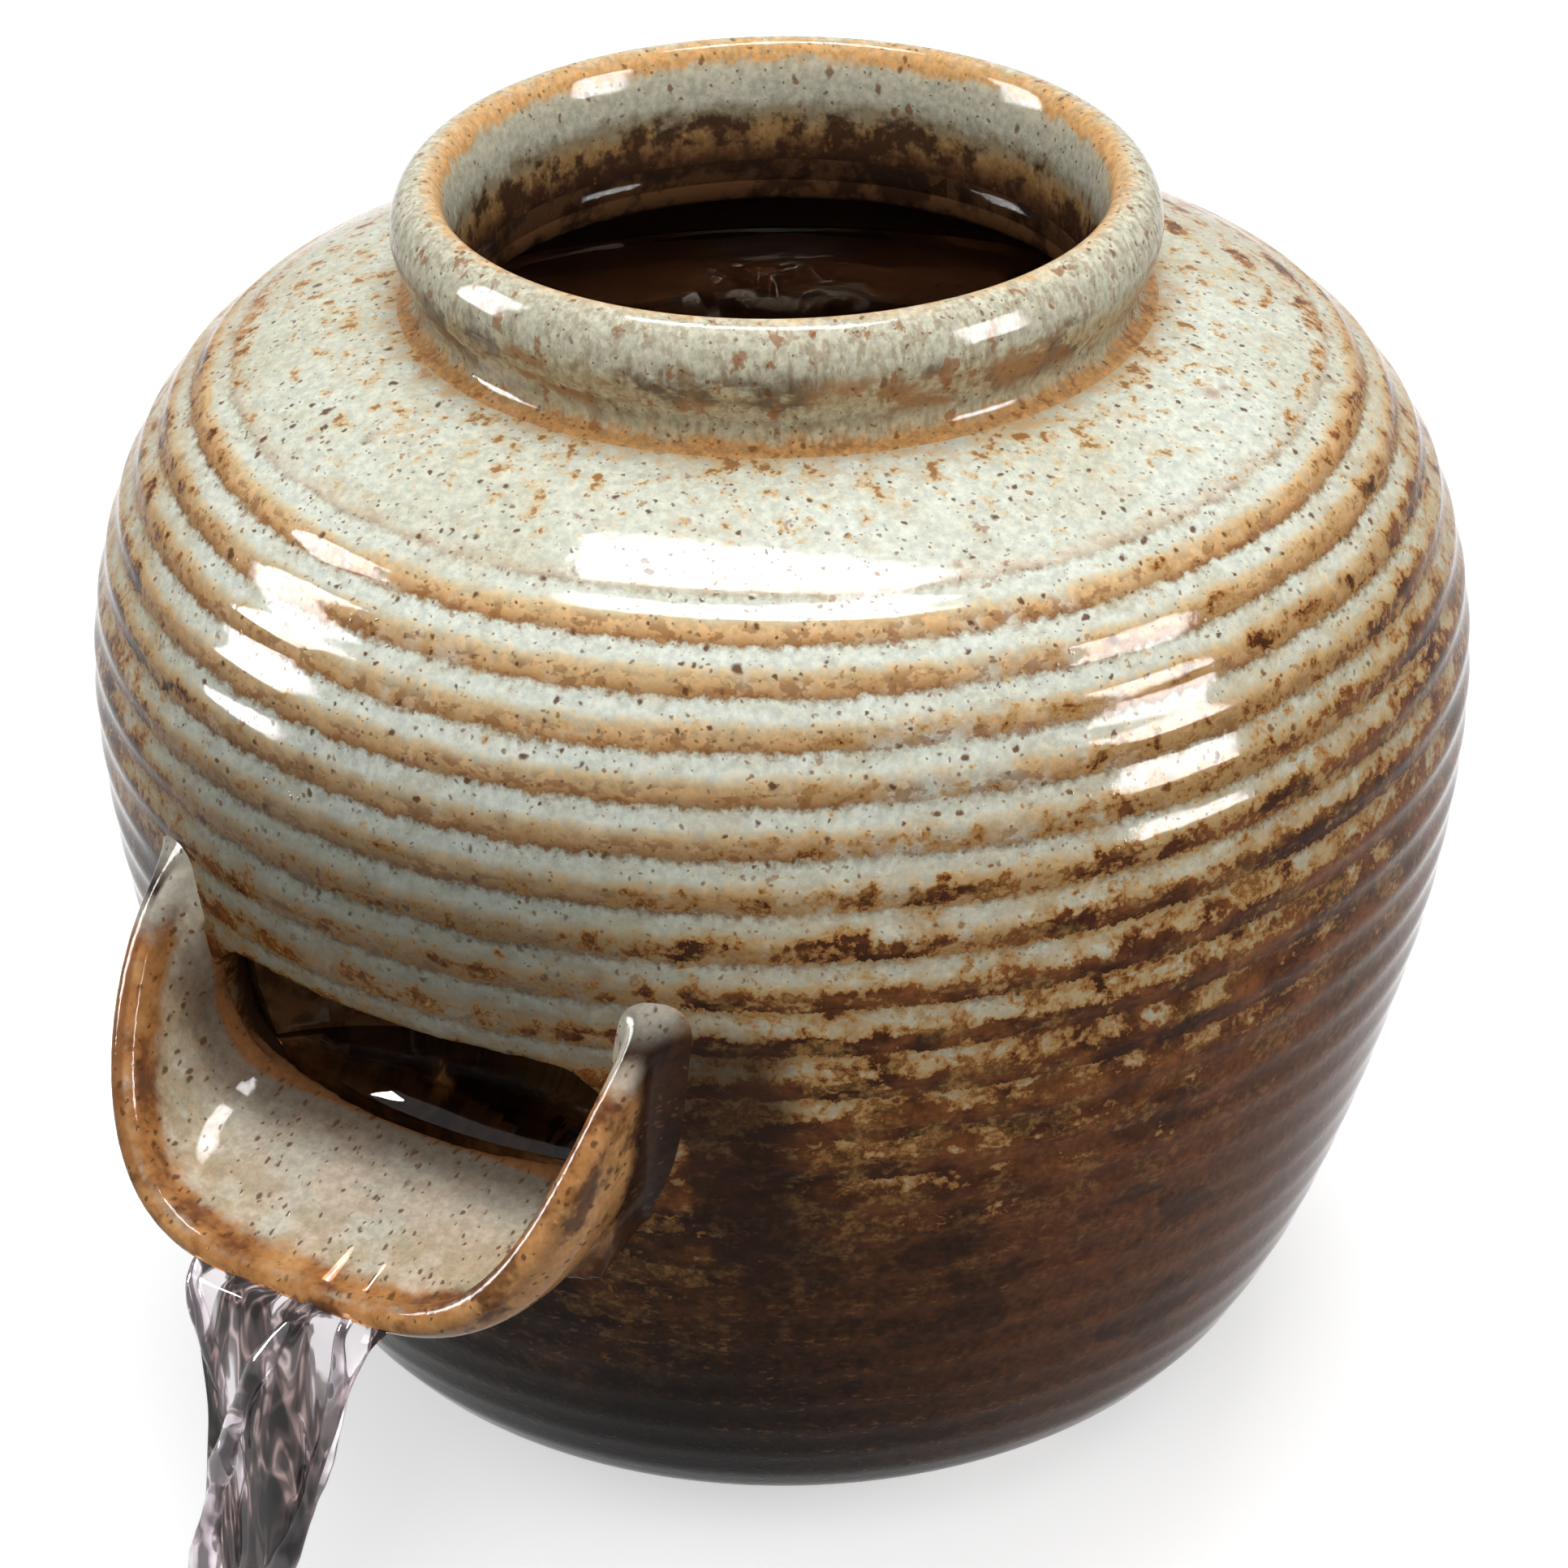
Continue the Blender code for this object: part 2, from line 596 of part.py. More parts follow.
def make_grommet():
    flange = GROMMET_RADIUS + GROMMET_FLANGE
    top = FLOOR_TOP_HEIGHT + CLEARANCE
    under = FLOOR_UNDER_HEIGHT - CLEARANCE
    profile = [(flange, top + GROMMET_FLANGE_THICKNESS), (flange, top), (GROMMET_RADIUS, top),
               (GROMMET_RADIUS, under), (flange, under), (flange, under - GROMMET_FLANGE_THICKNESS),
               (GROMMET_BORE_RADIUS, under - GROMMET_FLANGE_THICKNESS),
               (GROMMET_BORE_RADIUS, top + GROMMET_FLANGE_THICKNESS)]
    return turned("floor_grommet", profile, RUBBER, SMALL_STEPS)


# Pump

def on_axis(place):
    return 0, place, AXIS_HEIGHT


def make_housing():
    """The potted motor block on its base plate, with the rotor's bore."""
    half = PUMP_WIDTH / 2
    housing = span_box("pump_housing", (-half, HOUSING_FRONT_Y, PUMP_BOTTOM_HEIGHT),
                       (half, HOUSING_REAR_Y, PUMP_TOP_HEIGHT), BLACK_PLASTIC, PUMP_EDGE)
    plate = span_box("base plate", (-half, COVER_FRONT_Y, PUMP_BOTTOM_HEIGHT),
                     (half, HOUSING_FRONT_Y + PUMP_WIDTH / 4, PUMP_BOTTOM_HEIGHT + BASE_PLATE_THICKNESS))
    boolean(housing, plate, "UNION")
    boolean(housing, cylinder("rotor bore", MAGNET_RADIUS + RUNNING_GAP, on_axis(HOUSING_FRONT_Y - OVERRUN),
                              on_axis(HOUSING_FRONT_Y + BORE_DEPTH)))
    boolean(housing, cylinder("rear bush seat", BUSH_RADIUS + CLEARANCE, on_axis(HOUSING_FRONT_Y),
                              on_axis(SHAFT_REAR_Y + CLEARANCE), steps=FINE_STEPS))
    groove = SEAL_RADIUS + CLEARANCE
    profile = [(SEAL_RING_RADIUS + groove, OVERRUN), (SEAL_RING_RADIUS + groove, -2 * groove),
               (SEAL_RING_RADIUS - groove, -2 * groove), (SEAL_RING_RADIUS - groove, OVERRUN)]
    seal_groove = turned("seal groove", profile, steps=SMALL_STEPS)
    seal_groove.location = on_axis(HOUSING_FRONT_Y)
    seal_groove.rotation_euler.x = math.pi / 2
    boolean(housing, seal_groove)
    gland = PUMP_TOP_HEIGHT - GLAND_DROP
    boolean(housing, cylinder("gland seat", GLAND_RADIUS, (0, HOUSING_REAR_Y - GLAND_SEAT_DEPTH, gland),
                              (0, HOUSING_REAR_Y + OVERRUN, gland), steps=FINE_STEPS))
    for index, (x, y) in enumerate(cup_places()):
        boolean(housing, cylinder(f"cup hole {index + 1}", CUP_NECK_RADIUS + CLEARANCE, (x, y, 0),
                                  (x, y, PUMP_BOTTOM_HEIGHT + BASE_PLATE_THICKNESS + CLEARANCE),
                                  steps=FINE_STEPS))
    return housing


def suction_holes(target, start, end):
    for index in range(SUCTION_HOLES):
        turn = math.tau * (index + 0.5) / SUCTION_HOLES
        x, z = SUCTION_HOLE_CIRCLE * math.cos(turn), AXIS_HEIGHT + SUCTION_HOLE_CIRCLE * math.sin(turn)
        boolean(target, cylinder(f"{target.name} hole {index + 1}", SUCTION_HOLE_RADIUS, (x, start, z),
                                 (x, end, z), steps=FINE_STEPS))


def make_chamber_cover():
    """The impeller chamber: suction holes and a boss in front, the outlet on top."""
    half = COVER_WIDTH / 2
    cover = span_box("pump_chamber_cover", (-half, COVER_FRONT_Y, COVER_BOTTOM_HEIGHT),
                     (half, COVER_REAR_Y, PUMP_TOP_HEIGHT), GREY_PLASTIC, PUMP_EDGE)
    boss = cylinder("dial boss", BOSS_RADIUS, on_axis(COVER_FRONT_Y - BOSS_LENGTH),
                    on_axis(CHAMBER_FRONT_Y - CLEARANCE))
    boolean(cover, boss, "UNION")
    boolean(cover, cylinder("chamber bore", CHAMBER_RADIUS, on_axis(CHAMBER_FRONT_Y),
                            on_axis(COVER_REAR_Y + OVERRUN)))
    boolean(cover, cylinder("front bush seat", BUSH_RADIUS + CLEARANCE, on_axis(BUSH_FRONT_Y - CLEARANCE),
                            on_axis(CHAMBER_FRONT_Y + OVERRUN), steps=FINE_STEPS))
    suction_holes(cover, COVER_FRONT_Y - OVERRUN, CHAMBER_FRONT_Y + OVERRUN)
    boolean(cover, cylinder("outlet passage", NOZZLE_BORE_RADIUS, (0, 0, AXIS_HEIGHT),
                            (0, 0, PUMP_TOP_HEIGHT + OVERRUN)))
    boolean(cover, cylinder("nozzle seat", NOZZLE_STEM_RADIUS + CLEARANCE,
                            (0, 0, PUMP_TOP_HEIGHT - NOZZLE_STEM_DEPTH - CLEARANCE),
                            (0, 0, PUMP_TOP_HEIGHT + OVERRUN)))
    return cover


def make_seal():
    """A rubber ring in the housing's groove."""
    section = [(SEAL_RING_RADIUS + SEAL_RADIUS * math.cos(turn), SEAL_RADIUS * math.sin(turn))
               for turn in np.linspace(math.pi / 2, -math.pi * 3 / 2, SEAL_SIDES, endpoint=False)]
    seal = turned("chamber_seal", section, RUBBER, SMALL_STEPS)
    seal.location = on_axis(HOUSING_FRONT_Y + SEAL_RADIUS)
    seal.rotation_euler.x = math.pi / 2
    return seal


def make_nozzle():
    top = PUMP_TOP_HEIGHT + CLEARANCE
    neck = top + NOZZLE_FLANGE_THICKNESS
    end = neck + NOZZLE_LENGTH
    barb = NOZZLE_BARB_RADIUS - NOZZLE_BARB_HEIGHT
    profile = [(barb, end)]
    for share in (0.7, 0.35):
        profile += [(NOZZLE_BARB_RADIUS, neck + NOZZLE_LENGTH * share), (barb, neck + NOZZLE_LENGTH * share)]
    profile += [(barb, neck), (NOZZLE_FLANGE_RADIUS, neck), (NOZZLE_FLANGE_RADIUS, top),
                (NOZZLE_STEM_RADIUS, top), (NOZZLE_STEM_RADIUS, PUMP_TOP_HEIGHT - NOZZLE_STEM_DEPTH),
                (NOZZLE_BORE_RADIUS, PUMP_TOP_HEIGHT - NOZZLE_STEM_DEPTH), (NOZZLE_BORE_RADIUS, end)]
    return turned("outlet_nozzle", profile, GREY_PLASTIC, SMALL_STEPS)


def make_impeller():
    """Hub with straight vanes; its origin is on the rotor's axis."""
    start, end = CHAMBER_FRONT_Y + RUNNING_GAP, COVER_REAR_Y - RUNNING_GAP
    impeller = cylinder("impeller", HUB_RADIUS, on_axis(start), on_axis(end), GREY_PLASTIC)
    for index in range(VANE_PAIRS):
        vane = box(f"vane pair {index + 1}", (2 * VANE_RADIUS, end - start - 2 * RUNNING_GAP, VANE_THICKNESS),
                   on_axis((start + end) / 2))
        vane.rotation_euler.y = math.pi * index / VANE_PAIRS
        boolean(impeller, vane, "UNION")
    boolean(impeller, cylinder("impeller bore", ROTOR_BORE_RADIUS, on_axis(start - OVERRUN),
                               on_axis(end + OVERRUN), steps=FINE_STEPS))
    return impeller


def make_magnet():
    start = HOUSING_FRONT_Y + RUNNING_GAP
    magnet = cylinder("rotor_magnet", MAGNET_RADIUS, on_axis(start), on_axis(start + MAGNET_LENGTH), MAGNET)
    boolean(magnet, cylinder("magnet bore", ROTOR_BORE_RADIUS, on_axis(start - OVERRUN),
                             on_axis(start + MAGNET_LENGTH + OVERRUN), steps=FINE_STEPS))
    return magnet


def make_shaft():
    return cylinder("rotor_shaft", SHAFT_RADIUS, on_axis(BUSH_FRONT_Y + BUSH_FLOOR + CLEARANCE),
                    on_axis(SHAFT_REAR_Y - BUSH_FLOOR - CLEARANCE), SHAFT_CERAMIC, FINE_STEPS)


def make_bushes():
    front = cylinder("shaft_bush_front", BUSH_RADIUS, on_axis(BUSH_FRONT_Y), on_axis(CHAMBER_FRONT_Y),
                     RUBBER, FINE_STEPS)
    boolean(front, cylinder("front bush bore", ROTOR_BORE_RADIUS, on_axis(BUSH_FRONT_Y + BUSH_FLOOR),
                            on_axis(CHAMBER_FRONT_Y + OVERRUN), steps=FINE_STEPS))
    start = SHAFT_REAR_Y - BUSH_LENGTH
    rear = cylinder("shaft_bush_rear", BUSH_RADIUS, on_axis(start), on_axis(SHAFT_REAR_Y), RUBBER, FINE_STEPS)
    boolean(rear, cylinder("rear bush bore", ROTOR_BORE_RADIUS, on_axis(start - OVERRUN),
                           on_axis(SHAFT_REAR_Y - BUSH_FLOOR), steps=FINE_STEPS))


def make_dial():
    """A shutter disc on the cover's boss; turned by 45 degrees it closes the suction holes."""
    front = DIAL_REAR_Y - DIAL_THICKNESS
    dial = cylinder("flow_dial", DIAL_RADIUS, on_axis(front), on_axis(DIAL_REAR_Y), BLACK_PLASTIC)
    reach = DIAL_RADIUS + DIAL_TAB_LENGTH
    tab = span_box("dial tab", (-DIAL_TAB_WIDTH / 2, front, AXIS_HEIGHT + BOSS_RADIUS + DIAL_TAB_WIDTH),
                   (DIAL_TAB_WIDTH / 2, DIAL_REAR_Y, AXIS_HEIGHT + reach))
    boolean(dial, tab, "UNION")
    boolean(dial, cylinder("dial bore", BOSS_RADIUS + CLEARANCE, on_axis(front - OVERRUN),
                           on_axis(DIAL_REAR_Y + OVERRUN)))
    suction_holes(dial, front - OVERRUN, DIAL_REAR_Y + OVERRUN)
    return dial


def make_strainer():
    """A slotted cap that slides over the chamber cover's front."""
    rear = COVER_FRONT_Y + STRAINER_OVERLAP
    front = rear - STRAINER_LENGTH
    grow = STRAINER_WALL + CLEARANCE
    half = COVER_WIDTH / 2 + grow
    low, high = COVER_BOTTOM_HEIGHT - CLEARANCE, PUMP_TOP_HEIGHT + grow
    floor = PUMP_BOTTOM_HEIGHT + BASE_PLATE_THICKNESS
    strainer = span_box("strainer_cover", (-half, front, floor - CLEARANCE), (half, rear, high),
                        BLACK_PLASTIC, PUMP_EDGE)
    hollow = span_box("strainer hollow", (-half + STRAINER_WALL, front + STRAINER_WALL, low + STRAINER_WALL),
                      (half - STRAINER_WALL, rear + OVERRUN, high - STRAINER_WALL))
    boolean(strainer, hollow)
    relief = span_box("base plate relief", (-half - OVERRUN, COVER_FRONT_Y - CLEARANCE, floor - 2 * OVERRUN),
                      (half + OVERRUN, rear + OVERRUN, COVER_BOTTOM_HEIGHT + STRAINER_WALL))
    boolean(strainer, relief)
    pitch = (2 * half - 2 * STRAINER_SLOT_MARGIN) / STRAINER_SLOTS
    for index in range(STRAINER_SLOTS):
        x = -half + STRAINER_SLOT_MARGIN + (index + 0.5) * pitch
        slot = span_box(f"strainer slot {index + 1}",
                        (x - STRAINER_SLOT_WIDTH / 2, front - OVERRUN, low + STRAINER_SLOT_MARGIN),
                        (x + STRAINER_SLOT_WIDTH / 2, front + STRAINER_WALL + OVERRUN / 4,
                         high - STRAINER_SLOT_MARGIN))
        boolean(strainer, slot)
    inset = STRAINER_WALL + CLEARANCE
    span_box("filter_sponge", (-half + inset, front + inset, low + inset),
             (half - inset, front + inset + SPONGE_LENGTH, high - inset), SPONGE, SPONGE_EDGE)


def cup_places():
    return [(x, y) for y in (CUP_FRONT_Y, CUP_REAR_Y) for x in (-CUP_X, CUP_X)]


def make_cups():
    """Rubber feet: a shallow cup below and a neck that buttons into the base plate."""
    neck_top = PUMP_BOTTOM_HEIGHT + BASE_PLATE_THICKNESS
    shoulder = PUMP_BOTTOM_HEIGHT - CLEARANCE
    wide = CUP_NECK_RADIUS * 2
    profile = [(0, neck_top), (CUP_NECK_RADIUS, neck_top), (CUP_NECK_RADIUS, shoulder), (wide, shoulder),
               (wide, CUP_DOME_HEIGHT), (CUP_RADIUS, CUP_EDGE), (CUP_RADIUS, 0), (CUP_RADIUS - CUP_EDGE, 0),
               (0, CUP_HOLLOW_DEPTH)]
    for index, (x, y) in enumerate(cup_places()):
        cup = turned(f"suction_cup_{index + 1}", profile, RUBBER, FINE_STEPS)
        cup.location = (x, y, 0)


def make_gland():
    height = PUMP_TOP_HEIGHT - GLAND_DROP
    start = HOUSING_REAR_Y - GLAND_SEAT_DEPTH + CLEARANCE
    end = start + GLAND_LENGTH
    gland = cylinder("cord_gland", GLAND_RADIUS - CLEARANCE, (0, start, height), (0, end, height), RUBBER,
                     FINE_STEPS, GLAND_TIP_RADIUS)
    boolean(gland, cylinder("gland bore", GLAND_BORE_RADIUS, (0, start + GLAND_SEAT_DEPTH, height),
                            (0, end + OVERRUN, height), steps=FINE_STEPS))
    return gland


# Falling water

def water_path():
    """Stations of (sway, reach, height, width, thickness), from the slot over the lip to the fall's end."""
    film = WATER_FILM / 2 + WATER_FILM_GAP
    back = TROUGH_BACK_RADIUS + SPOUT_WALL
    stations = []
    for share in (0, 0.5, 1):
        reach = back + (SPOUT_REACH - SPOUT_WALL - back) * share
        width = WATER_FILM_WIDTH + (WATER_LIP_WIDTH - WATER_FILM_WIDTH) * share
        stations.append((0, reach, trough_height(reach) + film / math.cos(TROUGH_SLOPE), width, WATER_FILM))
    stations.append((0, SPOUT_REACH - WATER_FILM, LIP_HEIGHT + WATER_LIP_RISE, WATER_LIP_WIDTH, WATER_FILM))
    start_reach, start_height = SPOUT_REACH + WATER_FILM, LIP_HEIGHT
    for share in np.linspace(0, 1, WATER_STATIONS):
        height = start_height - (start_height - WATER_END_HEIGHT) * share
        reach = start_reach + WATER_DRIFT * math.sqrt(share)
        narrowing_share = math.exp(-share / WATER_NARROWING_SHARE)
        width = WATER_STREAM_WIDTH + (WATER_LIP_WIDTH - WATER_STREAM_WIDTH) * narrowing_share
        thickness = WATER_STREAM_THICKNESS + (2 * WATER_FILM - WATER_STREAM_THICKNESS) * narrowing_share
        stations.append((WATER_SWAY * share ** 2, reach, height, width, thickness))
    return stations


def make_water():
    stations = water_path()

    def build(shape):
        rings = []
        for index, (sway, reach, height, width, thickness) in enumerate(stations):
            before, after = stations[max(index - 1, 0)], stations[min(index + 1, len(stations) - 1)]
            slope = math.atan2(after[2] - before[2], after[1] - before[1])
            if index == len(stations) - 1:
                slope = -math.pi / 2
            ring = []
            for side in range(WATER_SIDES):
                turn = math.tau * side / WATER_SIDES
                lift = thickness / 2 * math.sin(turn)
                place = reach - lift * math.sin(slope)
                across = sway + width / 2 * math.cos(turn)
                ring.append(shape.verts.new((across, -place, height + lift * math.cos(slope))))
            rings.append(ring)
        for one, two in zip(rings, rings[1:]):
            for side in range(WATER_SIDES):
                after = (side + 1) % WATER_SIDES
                shape.faces.new((one[side], one[after], two[after], two[side]))
        shape.faces.new(rings[0])
        shape.faces.new(rings[-1])
        bmesh.ops.recalc_face_normals(shape, faces=shape.faces)

    return smooth(add_part("falling_water", mesh_from("falling_water", build), WATER))


make_jar()
make_rim()
make_spout()
make_weir()
make_grommet()
make_riser()
make_housing()
make_chamber_cover()
make_seal()
make_nozzle()
make_impeller()
make_magnet()
make_shaft()
make_bushes()
make_dial()
make_strainer()
make_cups()
make_gland()
make_water()
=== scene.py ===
# %% [markdown]
# # A ribbed ceramic tabletop fountain
#
# The real object is a thrown stoneware jar with a rolled rim and a pouring scoop. A small pump in its
# hollow foot lifts water into the jar, a weir inside holds it back, and it leaves by a slot and falls from
# the scoop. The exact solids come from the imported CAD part. This lesson dresses them: the fired clay gets
# its soft edges and its glaze, the water is made to run, and the pump parts get their plastics and rubbers.

# %% Load the frame
import math

import bmesh
import bpy
import numpy as np
import openvdb
from mathutils import Matrix, Quaternion, Vector


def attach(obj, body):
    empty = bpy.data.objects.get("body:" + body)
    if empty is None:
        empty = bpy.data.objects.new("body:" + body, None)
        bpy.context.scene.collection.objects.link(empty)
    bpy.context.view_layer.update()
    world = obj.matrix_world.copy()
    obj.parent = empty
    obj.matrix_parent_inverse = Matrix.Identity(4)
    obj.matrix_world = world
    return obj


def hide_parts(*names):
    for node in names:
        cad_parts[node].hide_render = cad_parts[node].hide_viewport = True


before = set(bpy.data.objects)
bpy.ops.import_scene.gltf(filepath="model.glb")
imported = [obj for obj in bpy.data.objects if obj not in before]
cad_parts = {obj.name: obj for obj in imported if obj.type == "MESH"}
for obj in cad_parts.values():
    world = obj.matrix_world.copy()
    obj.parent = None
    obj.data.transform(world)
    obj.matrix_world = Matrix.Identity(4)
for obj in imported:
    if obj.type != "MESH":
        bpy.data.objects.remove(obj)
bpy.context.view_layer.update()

# %% [markdown]
# ## Where the jar stands
#
# The row's origin is the middle of the whole footprint, falling water included, so the jar's own axis lies
# a little behind it. Every turned shape below is built round that axis.

# %% The jar's axis and the scene's collection
AXIS_Y = 0.01339
AXIS = Vector((0, AXIS_Y, 0))
scene = bpy.context.scene
scene.view_settings.view_transform = "Standard"


def add_object(name, mesh):
    made = bpy.data.objects.new(name, mesh)
    scene.collection.objects.link(made)
    return made


# %% [markdown]
# ## Camera
#
# The photograph looks down at the jar by about 29 degrees, from 34 degrees to the right of the spout, with
# a long lens. The picture is square, and the lens is given for a 36 mm wide sensor.

# %% The camera
CAMERA_AZIMUTH, CAMERA_DIP, CAMERA_TILT = 34, 29.3, -0.757
CAMERA_PLACE = Vector((0.34162, -0.50648, 0.4146)) + AXIS
camera_data = bpy.data.cameras.new("camera")
camera_data.lens = 135.4
camera_data.clip_start, camera_data.clip_end = 0.05, 20
camera = add_object("camera", camera_data)
camera.rotation_mode = "QUATERNION"
turn_round = Matrix.Rotation(math.radians(CAMERA_AZIMUTH), 4, "Z")
look_down = Matrix.Rotation(math.radians(90 - CAMERA_DIP), 4, "X")
tilt = Matrix.Rotation(math.radians(CAMERA_TILT), 4, "Z")
camera.rotation_quaternion = (turn_round @ look_down @ tilt).to_quaternion()
camera.location = CAMERA_PLACE
scene.camera = camera
print("camera stands", round(camera.location.length, 3), "m away")

# %% [markdown]
# ## Nodes, the short way
#
# Every finish and every Geometry Nodes tree is built from small steps. A wire is one node's output, and
# sums with wires add Math nodes, so that a tree reads from top to bottom like a recipe.

# %% Wires, and how to add a node


class Wire:
    """An output of a node. Arithmetic with it adds Math nodes to its tree."""

    def __init__(self, socket):
        self.socket, self.tree = socket, socket.id_data

    def __add__(self, other):
        return reckon("ADD", self, other)

    def __sub__(self, other):
        return reckon("SUBTRACT", self, other)

    def __rsub__(self, other):
        return reckon("SUBTRACT", other, self)

    def __mul__(self, other):
        return reckon("MULTIPLY", self, other)

    def __truediv__(self, other):
        return reckon("DIVIDE", self, other)


def feed(socket, value):
    """Links a wire to a socket. Anything else becomes the socket's own value."""
    if isinstance(value, Wire):
        value.tree.links.new(value.socket, socket)
    elif isinstance(value, tuple) and len(socket.default_value) == 4:
        socket.default_value = (*value, 1)
    else:
        socket.default_value = value


def put(tree, kind, inputs=None, **settings):
    """Adds a node and feeds its inputs."""
    node = tree.nodes.new(kind)
    for key, value in settings.items():
        setattr(node, key, value)
    for key, value in (inputs or {}).items():
        feed(node.inputs[key], value)
    return node


def step(tree, kind, output, inputs=None, **settings):
    """Adds a node and gives a wire from one of its outputs."""
    return Wire(put(tree, kind, inputs, **settings).outputs[output])


# %% Helpers for numbers and places


def reckon(operation, *values):
    """One step of arithmetic on wires and numbers."""
    tree = next(value.tree for value in values if isinstance(value, Wire))
    return step(tree, "ShaderNodeMath", 0, dict(enumerate(values)), operation=operation)


def graded(value, low, high, to_low=0.0, to_high=1.0, way="LINEAR"):
    """A value that goes from to_low to to_high as another goes from low to high."""
    return step(value.tree, "ShaderNodeMapRange", "Result",
                {"Value": value, "From Min": low, "From Max": high, "To Min": to_low, "To Max": to_high},
                interpolation_type=way)


def rise(value, low, high):
    """0 below low, 1 above high and an S between them; a high under low turns it round."""
    return graded(value, low, high, way="SMOOTHSTEP")


def centred(value, gain, onto):
    """Adds a noise of 0 to 1 to another value, so that it moves it by half the gain either way."""
    return onto + reckon("MULTIPLY_ADD", value, gain, -gain / 2)


def split(vector):
    """The three parts of a vector."""
    return [Wire(part) for part in put(vector.tree, "ShaderNodeSeparateXYZ", {"Vector": vector}).outputs]


def scaled(vector, amount):
    return step(vector.tree, "ShaderNodeVectorMath", 0, {0: vector, "Scale": amount}, operation="SCALE")


def combined(operation, one, two):
    return step(one.tree, "ShaderNodeVectorMath", 0, {0: one, 1: two}, operation=operation)


def stretched(place, *scale):
    """Places scaled along each axis: a share below 1 draws a pattern out along that axis."""
    return step(place.tree, "ShaderNodeMapping", "Vector", {"Vector": place, "Scale": scale})


# %% Helpers for noise and specks


def noise(place, size, detail=3, roughness=0.55, distortion=0.0):
    """Soft noise from 0 to 1, whose blobs are about size metres across."""
    return step(place.tree, "ShaderNodeTexNoise", "Fac",
                {"Vector": place, "Scale": 1 / size, "Detail": detail, "Roughness": roughness,
                 "Distortion": distortion})


def blobs(place, size, low, high, detail=4, roughness=0.6):
    """Ragged blobs: 1 where a noise is above high and 0 where it is below low."""
    return rise(noise(place, size, detail, roughness), low, high)


def seeded_noise(place, scale, seed):
    """Soft noise that a seed changes as a whole."""
    return step(place.tree, "ShaderNodeTexNoise", "Fac",
                {"Vector": place, "W": seed, "Scale": scale, "Detail": 1}, noise_dimensions="4D")


def shaken(place, size, amount):
    """Places pushed about by noise, which makes round specks ragged."""
    push = step(place.tree, "ShaderNodeTexNoise", "Color", {"Vector": place, "Scale": 1 / size, "Detail": 2})
    return combined("ADD", place, scaled(combined("SUBTRACT", push, (0.5, 0.5, 0.5)), amount))


def specks(place, spacing, radius, share, blur=0.45):
    """Round specks of about radius metres, one to some cells of spacing metres: 1 in a speck."""
    cells = put(place.tree, "ShaderNodeTexVoronoi", {"Vector": place, "Scale": 1 / spacing}).outputs
    lot = put(place.tree, "ShaderNodeSeparateColor", {"Color": Wire(cells["Color"])}).outputs
    reach = (Wire(lot["Green"]) * 0.8 + 0.4) * (radius / spacing)
    return rise(Wire(cells["Distance"]), reach, reach * blur) * reckon("LESS_THAN", Wire(lot["Red"]), share)


# %% Helpers for colour


def tint(share, one, two):
    """Colour one turning into colour two as share goes from 0 to 1."""
    return step(share.tree, "ShaderNodeMix", 2, {0: share, 6: one, 7: two}, data_type="RGBA")


def ramp(value, *stops):
    """A colour that passes through stops of (place, colour) as value grows."""
    node = put(value.tree, "ShaderNodeValToRGB", {"Fac": value})
    elements = node.color_ramp.elements
    while len(elements) < len(stops):
        elements.new(0.5)
    for element, (place, colour) in zip(elements, stops):
        element.position, element.color = place, (*colour, 1)
    return Wire(node.outputs["Color"])


def mottled(colour, value, low, high):
    """A colour made darker or lighter by a noise."""
    return scaled(colour, graded(value, 0.36, 0.64, low, high))


def new_finish(name, **values):
    """A material with a Principled shader, whose even values are set on the shader's own sockets."""
    made = bpy.data.materials.new(name)
    made.use_nodes = True
    shader = made.node_tree.nodes["Principled BSDF"].inputs
    for key, value in values.items():
        feed(shader[key.replace("_", " ")], value)
    return made, made.node_tree, shader


def attribute(tree, name, output="Fac"):
    return step(tree, "ShaderNodeAttribute", output, attribute_name=name)


def object_place(tree):
    return step(tree, "ShaderNodeTexCoord", "Object")


def bumped(tree, shader, height, strength, depth):
    feed(shader["Normal"], step(tree, "ShaderNodeBump", "Normal",
                                {"Height": height, "Strength": strength, "Distance": depth}))


# %% Helpers for Geometry Nodes


def named(tree, name, kind="FLOAT"):
    return step(tree, "GeometryNodeInputNamedAttribute", "Attribute", {"Name": name}, data_type=kind)


def new_tree(name, *numbers):
    """A Geometry Nodes tree with a geometry, named numbers and a material as inputs."""
    tree = bpy.data.node_groups.new(name, "GeometryNodeTree")
    tree.interface.new_socket("Geometry", in_out="INPUT", socket_type="NodeSocketGeometry")
    for label, value in numbers:
        kind = "NodeSocketInt" if isinstance(value, int) else "NodeSocketFloat"
        tree.interface.new_socket(label, in_out="INPUT", socket_type=kind).default_value = value
    tree.interface.new_socket("Material", in_out="INPUT", socket_type="NodeSocketMaterial")
    tree.interface.new_socket("Geometry", in_out="OUTPUT", socket_type="NodeSocketGeometry")
    return tree, {socket.name: Wire(socket) for socket in put(tree, "NodeGroupInput").outputs}


def moved(geometry, offset):
    return step(geometry.tree, "GeometryNodeSetPosition", 0, {"Geometry": geometry, "Offset": offset})


def end_tree(geometry, given):
    whole = step(geometry.tree, "GeometryNodeRealizeInstances", 0, {"Geometry": geometry})
    dressed = step(geometry.tree, "GeometryNodeSetMaterial", 0,
                   {"Geometry": whole, "Material": given["Material"]})
    put(geometry.tree, "NodeGroupOutput", {0: dressed})
    print(geometry.tree.name, "tree:", len(geometry.tree.nodes), "nodes")


